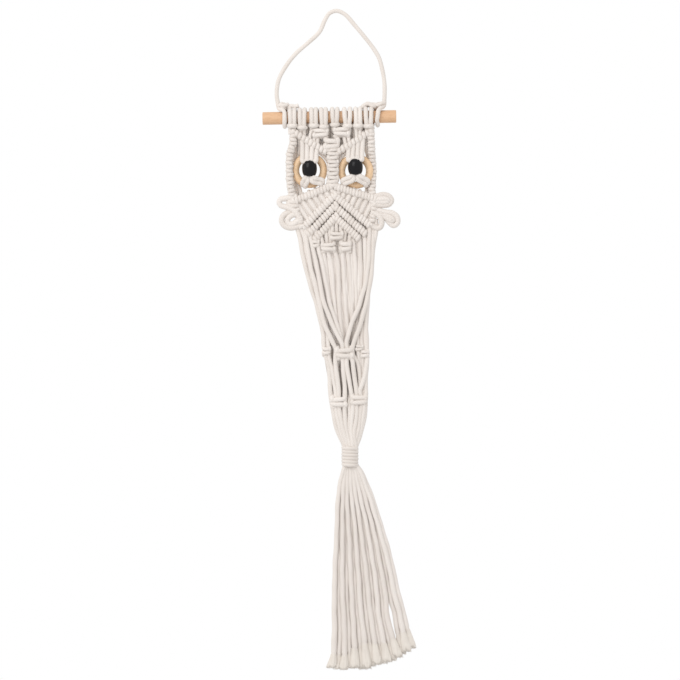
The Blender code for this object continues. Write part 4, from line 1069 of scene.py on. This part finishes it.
# %% Back cords
BREAST_TOP = ((-46, -188), (-8, -173), (-4, -176), (34, -186))
BACK_CORDS, BACK_R, BACK_STEP = 18, R * 1.16, 3.0
BACK_EDGES = np.array((
    # z, left, right, y, painted shade
    (-200.0, -40.5, 32.0, -0.4, 0.4), (-226.0, -39.4, 31.0, -2.0, 1.0), (-290.0, -25.4, 25.4, -2.3, 1.0),
    (-336.0, -16.8, 21.8, -0.4, 0.0), (-350.0, -15.2, 21.2, 0.8, -2.2), (-396.0, -9.2, 19.8, 0.4, -2.2),
    (-422.0, -2.6, 13.0, -1.8, -1.0), (-438.0, 0.8, 10.2, -3.8, -0.6),
))
back = Yarn()
z, left, right, y, tone_and_shade = BACK_EDGES.T
for k, share in enumerate(np.linspace(0, 1, BACK_CORDS)):
    x = left + (right - left) * share
    high = np.interp(x[0], *np.transpose(BREAST_TOP))
    route = np.stack([x, y + 1.2 * (k % 2), z], axis=1)
    tucked = [(x[0], -3.6, high - 1.0), (x[0], route[0, 1], high - 7.0)]
    line = through(np.vstack([tucked, route]), BACK_STEP)
    # their colour value is painted shade: darker towards the left edge and between the two rows of tail
    # knots
    back.cord(line, BACK_R, wobble=0.15, tone_and_shade=share * 0.5 + np.interp(-line[:, 2], -z, tone_and_shade))
lay("back_cords", back)

# %% [markdown]
# ## Knots of the belly and the tail
#
# Three square knots fill the space under the last chevron, and a smaller one lies at its left
# end.  Two rows further down, of four knots and of two, hold the tail.  All of them are the pair
# of paths of a square knot, and short straight cords join the belly knots to the breast.

# %% Belly and tail knots
TAIL_KNOTS = (
    # x, z, width, height, y, depth, hand
    (-4.2, -223.4, 14.0, 7.6, -5.8, 8.4, 1), (-12.8, -234.4, 15.4, 8.4, -5.8, 8.4, -1),
    (4.2, -234.2, 13.0, 9.4, -5.8, 8.4, 1), (-25.6, -231.0, 9.0, 7.4, -5.2, 7.4, 1),
    (-16.3, -338.3, 9.6, 7.6, -5.0, 8.4, 1), (1.6, -340.6, 18.6, 10.0, -7.6, 9.4, -1),
    (16.6, -335.6, 8.4, 5.4, -5.6, 7.4, 1), (22.0, -341.6, 9.4, 7.0, -5.4, 8.4, 1),
    (-4.9, -389.3, 17.2, 9.6, -6.4, 9.6, -1), (15.4, -387.6, 17.6, 9.6, -6.4, 9.6, 1),
)
BELLY_CORDS = (
    # from x, z to x, z
    (-8.6, -208.0, -8.6, -219.5), (-0.2, -208.0, -0.2, -219.5), (-4.4, -206.0, -4.4, -220.0),
    (-20.4, -222.5, -18.2, -231.5), (-15.4, -216.5, -14.0, -231.0), (-12.0, -212.5, -10.4, -231.0),
    (9.6, -218.0, 7.4, -231.0), (4.8, -213.0, 3.4, -230.0), (-24.0, -224.0, -25.0, -228.0),
    (-28.0, -222.0, -27.6, -228.0),
)
knots = Yarn()
for x, z, width, height, y, depth, hand in TAIL_KNOTS:
    square_knots(knots, x, z, width, height, y=y, depth=depth, hand=hand, run=3.6)
for row in BELLY_CORDS:
    straight(knots, *row)
lay("tail_knots", knots)

# %% [markdown]
# ## The gathering wrap and the fringe
#
# A separate length of cord is wound tightly round all sixteen ends.  It is a helix that starts
# and ends behind them.  Below it the ends spread into a fringe whose outline is read from a table
# of its left and right edges, and the braid opens and grows thicker towards the tips.

# %% Wrap
WRAP_TURNS = 6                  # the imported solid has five
WRAP_COIL, WRAP_CORD_R = 6.7, 1.95
COIL_INSET = 1.7                # from each end of the wrap to the middle of the coil's last cord
wrap = Yarn()
angle = np.linspace(-np.pi, (2 * WRAP_TURNS - 1) * np.pi, 40 * WRAP_TURNS)
share = np.linspace(0, 1, len(angle))
wrap_line = np.stack([
    WRAP_TOP[0] + (WRAP_FOOT[0] - WRAP_TOP[0]) * share + WRAP_COIL * np.sin(angle),
    WRAP_Y - WRAP_COIL * np.cos(angle),
    WRAP_TOP[1] - COIL_INSET + (WRAP_FOOT[1] - WRAP_TOP[1] + 2 * COIL_INSET) * share], axis=1)
wrap.cord(spaced(wrap_line, 0.9), WRAP_CORD_R, wobble=0.05, tone_and_shade=0.1)
lay("gathering_wrap", wrap, "wrap_and_fringe")

# %% Fringe
FRINGE_EDGES = np.array((
    # z, left, right
    (-446.0, -0.6, 11.8), (-452.0, -0.2, 12.0), (-460.0, -2.6, 17.4), (-468.0, -5.2, 21.4),
    (-480.0, -7.6, 26.0), (-498.0, -9.2, 32.2), (-520.0, -10.9, 39.2), (-548.0, -13.0, 47.0),
    (-590.0, -14.8, 55.2), (-616.0, -14.4, 60.4), (-636.0, -15.6, 66.4), (-658.0, -18.0, 72.0),
))
FRINGE_ENDS = np.array((
    # share of the width, z where the braid ends, z of the combed tip
    (0.0, -645.0, -655.0), (0.16, -646.0, -657.5), (0.24, -642.0, -654.6), (0.32, -637.0, -657.2),
    (0.41, -634.0, -656.6), (0.48, -634.5, -653.2), (0.6, -636.0, -651.2), (0.72, -633.0, -648.6),
    (0.84, -627.0, -642.4), (1.0, -620.0, -635.8),
))
FRINGE_LEVELS = np.array([-446.0, -452, -460, -470, -485, -505, -530, -560, -580, -591, -600, -613])
FRINGE_RADII = ((450, 520, 600, 646), (2.15, 2.4, 2.7, 3.05))   # mm below the origin, radius there
FRINGE_CORDS = 16
FRONT_ROW, BACK_ROW = -1.7, 1.5  # Y of the two rows of ends, from the middle of the wrap
SLIT_AT, SLIT_HALF = 13, 1.7     # ends to the left of the slit, and half its greatest width
SLIT = np.array(((-650, 0.3), (-628, 0.5), (-613, 1.0), (-600, 1.0), (-591, 0.35), (-580, 0.0)))


def edge(z, column):
    """The fringe's left or right edge at a height."""
    order = FRINGE_EDGES[::-1]
    return np.interp(z, order[:, 0], order[:, column])


def fringe_line(k):
    """One end: an even share of the width at each height, every second one a little behind."""
    share = (k + 0.5) / FRINGE_CORDS
    end_z = float(np.interp(share, FRINGE_ENDS[:, 0], FRINGE_ENDS[:, 1]))
    z = np.append(FRINGE_LEVELS, end_z)
    left, right = edge(z, 1), edge(z, 2)
    beside = k + 0.5 - SLIT_AT
    slit = SLIT_HALF * np.interp(z, *SLIT.T) * np.sign(beside) * max(0, 1.1 - abs(beside) / 5)
    row = FRONT_ROW if k % 2 == 0 else BACK_ROW
    depth = row * (1 - 0.15 * np.minimum(1, (FRINGE_LEVELS[0] - z) / 160))
    sway = 0.3 * np.sin(z / 31.0 + k * 1.9) * np.clip((-460 - z) / 60, 0, 1)
    x = left + (right - left) * share + slit + sway
    return np.stack([x, WRAP_Y + depth, z], axis=1)


fringe = Yarn()
fringe_ends = []
for k in range(FRINGE_CORDS):
    line = through(fringe_line(k), 1.6)
    ease = np.interp(np.arange(len(line))[::-1], (0, 4), (0.7, 1.0))
    fringe.cord(line, ease * np.interp(-line[:, 2], *FRINGE_RADII), wobble=0.16)
    fringe_ends.append((line[-1], unit(line[-1] - line[-6]), (k + 0.5) / FRINGE_CORDS))
lay("fringe", fringe, "wrap_and_fringe", open_braid)

# %% [markdown]
# ## Combed ends
#
# One or two centimetres of every end are combed out, and the braid opens into a soft tuft.  Each
# tuft is a tube whose section widens across the fringe and rounds off at its tip, with fine
# furrows along it.  Loose threads come out of it, and some reach a little past its tip.  Each one
# is a thin four-sided tube, and all the threads of a tuft are computed together.

# %% Combed ends
THREADS, THREAD_RINGS, THREAD_SIDES, THREAD_R = 80, 3, 4, 0.17
COMBED_TINT = 0.9
INTO_BRAID = 5.0                # how far up inside the braid a tuft begins


def tuft_width(s):
    """Half width across the fringe and half depth at a share s of the tuft's length."""
    close = np.sqrt(np.clip(1 - np.clip((s - 0.7) / 0.3, 0, 1) ** 2.4, 0.0, 1))
    return (2.5 + 3.0 * s**0.9) * close, (2.5 + 0.2 * s) * close


def tuft_middle(base, heading, lean, length, s):
    """The tuft's middle line: straight on from the cord, leaning outwards more and more."""
    return base + heading * (length * s)[..., None] + np.array([lean, 0, 0]) * (s**1.8)[..., None]


def tuft(yarn, base, heading, lean, length):
    """One tuft: (w cos t, -d sin t) about the middle line, times 1 + the sum of size cos(n t + phase).

    The furrows are deeper towards its start, which is also narrower.  Two waves round it, of 3 and
    8 crests, make its end ragged.
    """
    s = np.linspace(0, 1, 20)
    t = np.linspace(0, 2 * np.pi, 48, endpoint=False)
    wide, deep = tuft_width(s)
    waves = ((5, 0.04), (9, 0.035), (16, 0.03))
    furrow = sum(size * np.cos(n * t + rng.uniform(0, 6)) for n, size in waves)
    furrow = (1 + furrow * (1 + 2.6 * np.exp(-9 * s))[:, None]) * (1 - 0.25 * np.exp(-40 * s))[:, None]
    ragged = 1 + 0.06 * np.cos(3 * t + rng.uniform(0, 6)) + 0.03 * np.cos(8 * t + rng.uniform(0, 6))
    reach = s[:, None] * (1 + (ragged - 1) * (s**4)[:, None])
    middle = tuft_middle(base, heading, lean, length, reach)
    rings = middle + np.stack([wide[:, None] * np.cos(t) * furrow, -deep[:, None] * np.sin(t) * furrow,
                               0 * wide[:, None] * t], axis=-1)
    yarn.tube(rings[:-1], base, middle[-1].mean(axis=0), s * length, COMBED_TINT)


def threads(yarn, base, heading, lean, length):
    """Threads at the tip: they start inside the tuft, come out of its end and thin out."""
    turn = rng.uniform(0, 2 * np.pi, THREADS)
    inward = np.sqrt(rng.uniform(0, 1, THREADS))[:, None]
    start = rng.uniform(0.72, 0.86, THREADS)
    reach = rng.uniform(0.95, 1.045, THREADS)
    along = np.linspace(0, 1, THREAD_RINGS)
    s = start[:, None] + (reach - start)[:, None] * along
    wide, deep = tuft_width(np.minimum(s, 0.86))
    line = tuft_middle(base, heading, lean, length, s)
    line[..., 0] += wide * inward * np.cos(turn)[:, None] * (1 + 0.15 * (s - 0.9))
    line[..., 0] += rng.normal(0, 0.4, (THREADS, 1)) * (s - start[:, None]) * 4
    line[..., 1] += deep * inward * np.sin(turn)[:, None]
    thick = THREAD_R * (1.1 - 0.6 * along)[:, None, None]
    t = np.linspace(0, 2 * np.pi, THREAD_SIDES, endpoint=False)
    ring = np.stack([np.cos(t), np.sin(t), 0 * t], axis=1)
    points = (line[:, :, None] + thick * ring).reshape(-1, 3)
    i, j = np.meshgrid(np.arange(THREAD_RINGS - 1), np.arange(THREAD_SIDES), indexing="ij")
    here, below = i * THREAD_SIDES, (i + 1) * THREAD_SIDES
    k = (j + 1) % THREAD_SIDES
    quads = np.stack([here + j, below + j, below + k, here + k], axis=-1).reshape(-1, 4)
    corner, total = np.arange(THREAD_SIDES), THREAD_RINGS * THREAD_SIDES
    ends = np.stack([corner, total - 1 - corner])
    first = total * np.arange(THREADS)[:, None, None]
    faces = (np.vstack([quads, ends]) + first).reshape(-1, 4)
    yarn.add(points, COMBED_TINT, (faces, np.zeros((len(faces), 4, 2))))


combed = Yarn()
for end, heading, share in fringe_ends:
    tip_z = np.interp(share, FRINGE_ENDS[:, 0], FRINGE_ENDS[:, 2])
    side = share * 2 - 1
    base = end - heading * INTO_BRAID
    lean = (2.8 if side < 0 else 0.2) * side**3 + rng.uniform(-0.4, 0.4)
    shape = (base, heading, lean, (tip_z - base[2]) / heading[2] + rng.uniform(-0.5, 0.5))
    tuft(combed, *shape)
    threads(combed, *shape)
lay("combed_ends", combed, "wrap_and_fringe", loose_cotton)

# %% [markdown]
# ## Light and floor
#
# The photograph has soft light from all round and a plain white ground.  A white world gives
# that, and a large weak lamp in front, high on the left, rounds the cords.  The floor lies well
# below the fringe.

# %% Light and floor
world = bpy.data.worlds.new("studio")
bpy.context.scene.world = world
world.use_nodes = True
world.node_tree.nodes["Background"].inputs[0].default_value = (1, 1, 1, 1)
world.node_tree.nodes["Background"].inputs[1].default_value = 1.0
KEY_PLACE, KEY_AIM = Vector((-0.9, -1.5, 0.7)), Vector((0, 0, -0.35))
key = bpy.data.objects.new("key_light", bpy.data.lights.new("key_light", "AREA"))
key.data.energy = 15
key.data.size = 1.2
key.matrix_world = (Matrix.Translation(KEY_PLACE)
                    @ (KEY_PLACE - KEY_AIM).to_track_quat("Z", "Y").to_matrix().to_4x4())
bpy.context.scene.collection.objects.link(key)
bpy.context.scene.view_settings.view_transform = "Standard"


def pale_floor():
    """Nearly white, with faint clouds."""
    f = Finish("pale floor", roughness=0.8)
    clouds = f.noise(f.node("ShaderNodeTexCoord", output=3), 6.0)
    return f.surface(Base_Color=f.blend(clouds, (0.78, 0.78, 0.78, 1), (0.82, 0.82, 0.82, 1)))


FLOOR_Z = -1.25
bpy.ops.mesh.primitive_circle_add(vertices=96, radius=2.4, fill_type="NGON", location=(0, 0, 0))
floor = bpy.context.object
floor.name = "studio_floor"
floor.data.transform(Matrix.Translation((0, 0, FLOOR_Z)))
floor.data.materials.append(pale_floor())

# %% Sizes for the record, and the end
print("triangles in all:", sum(triangle_count(piece.data) for piece in pieces.values()))
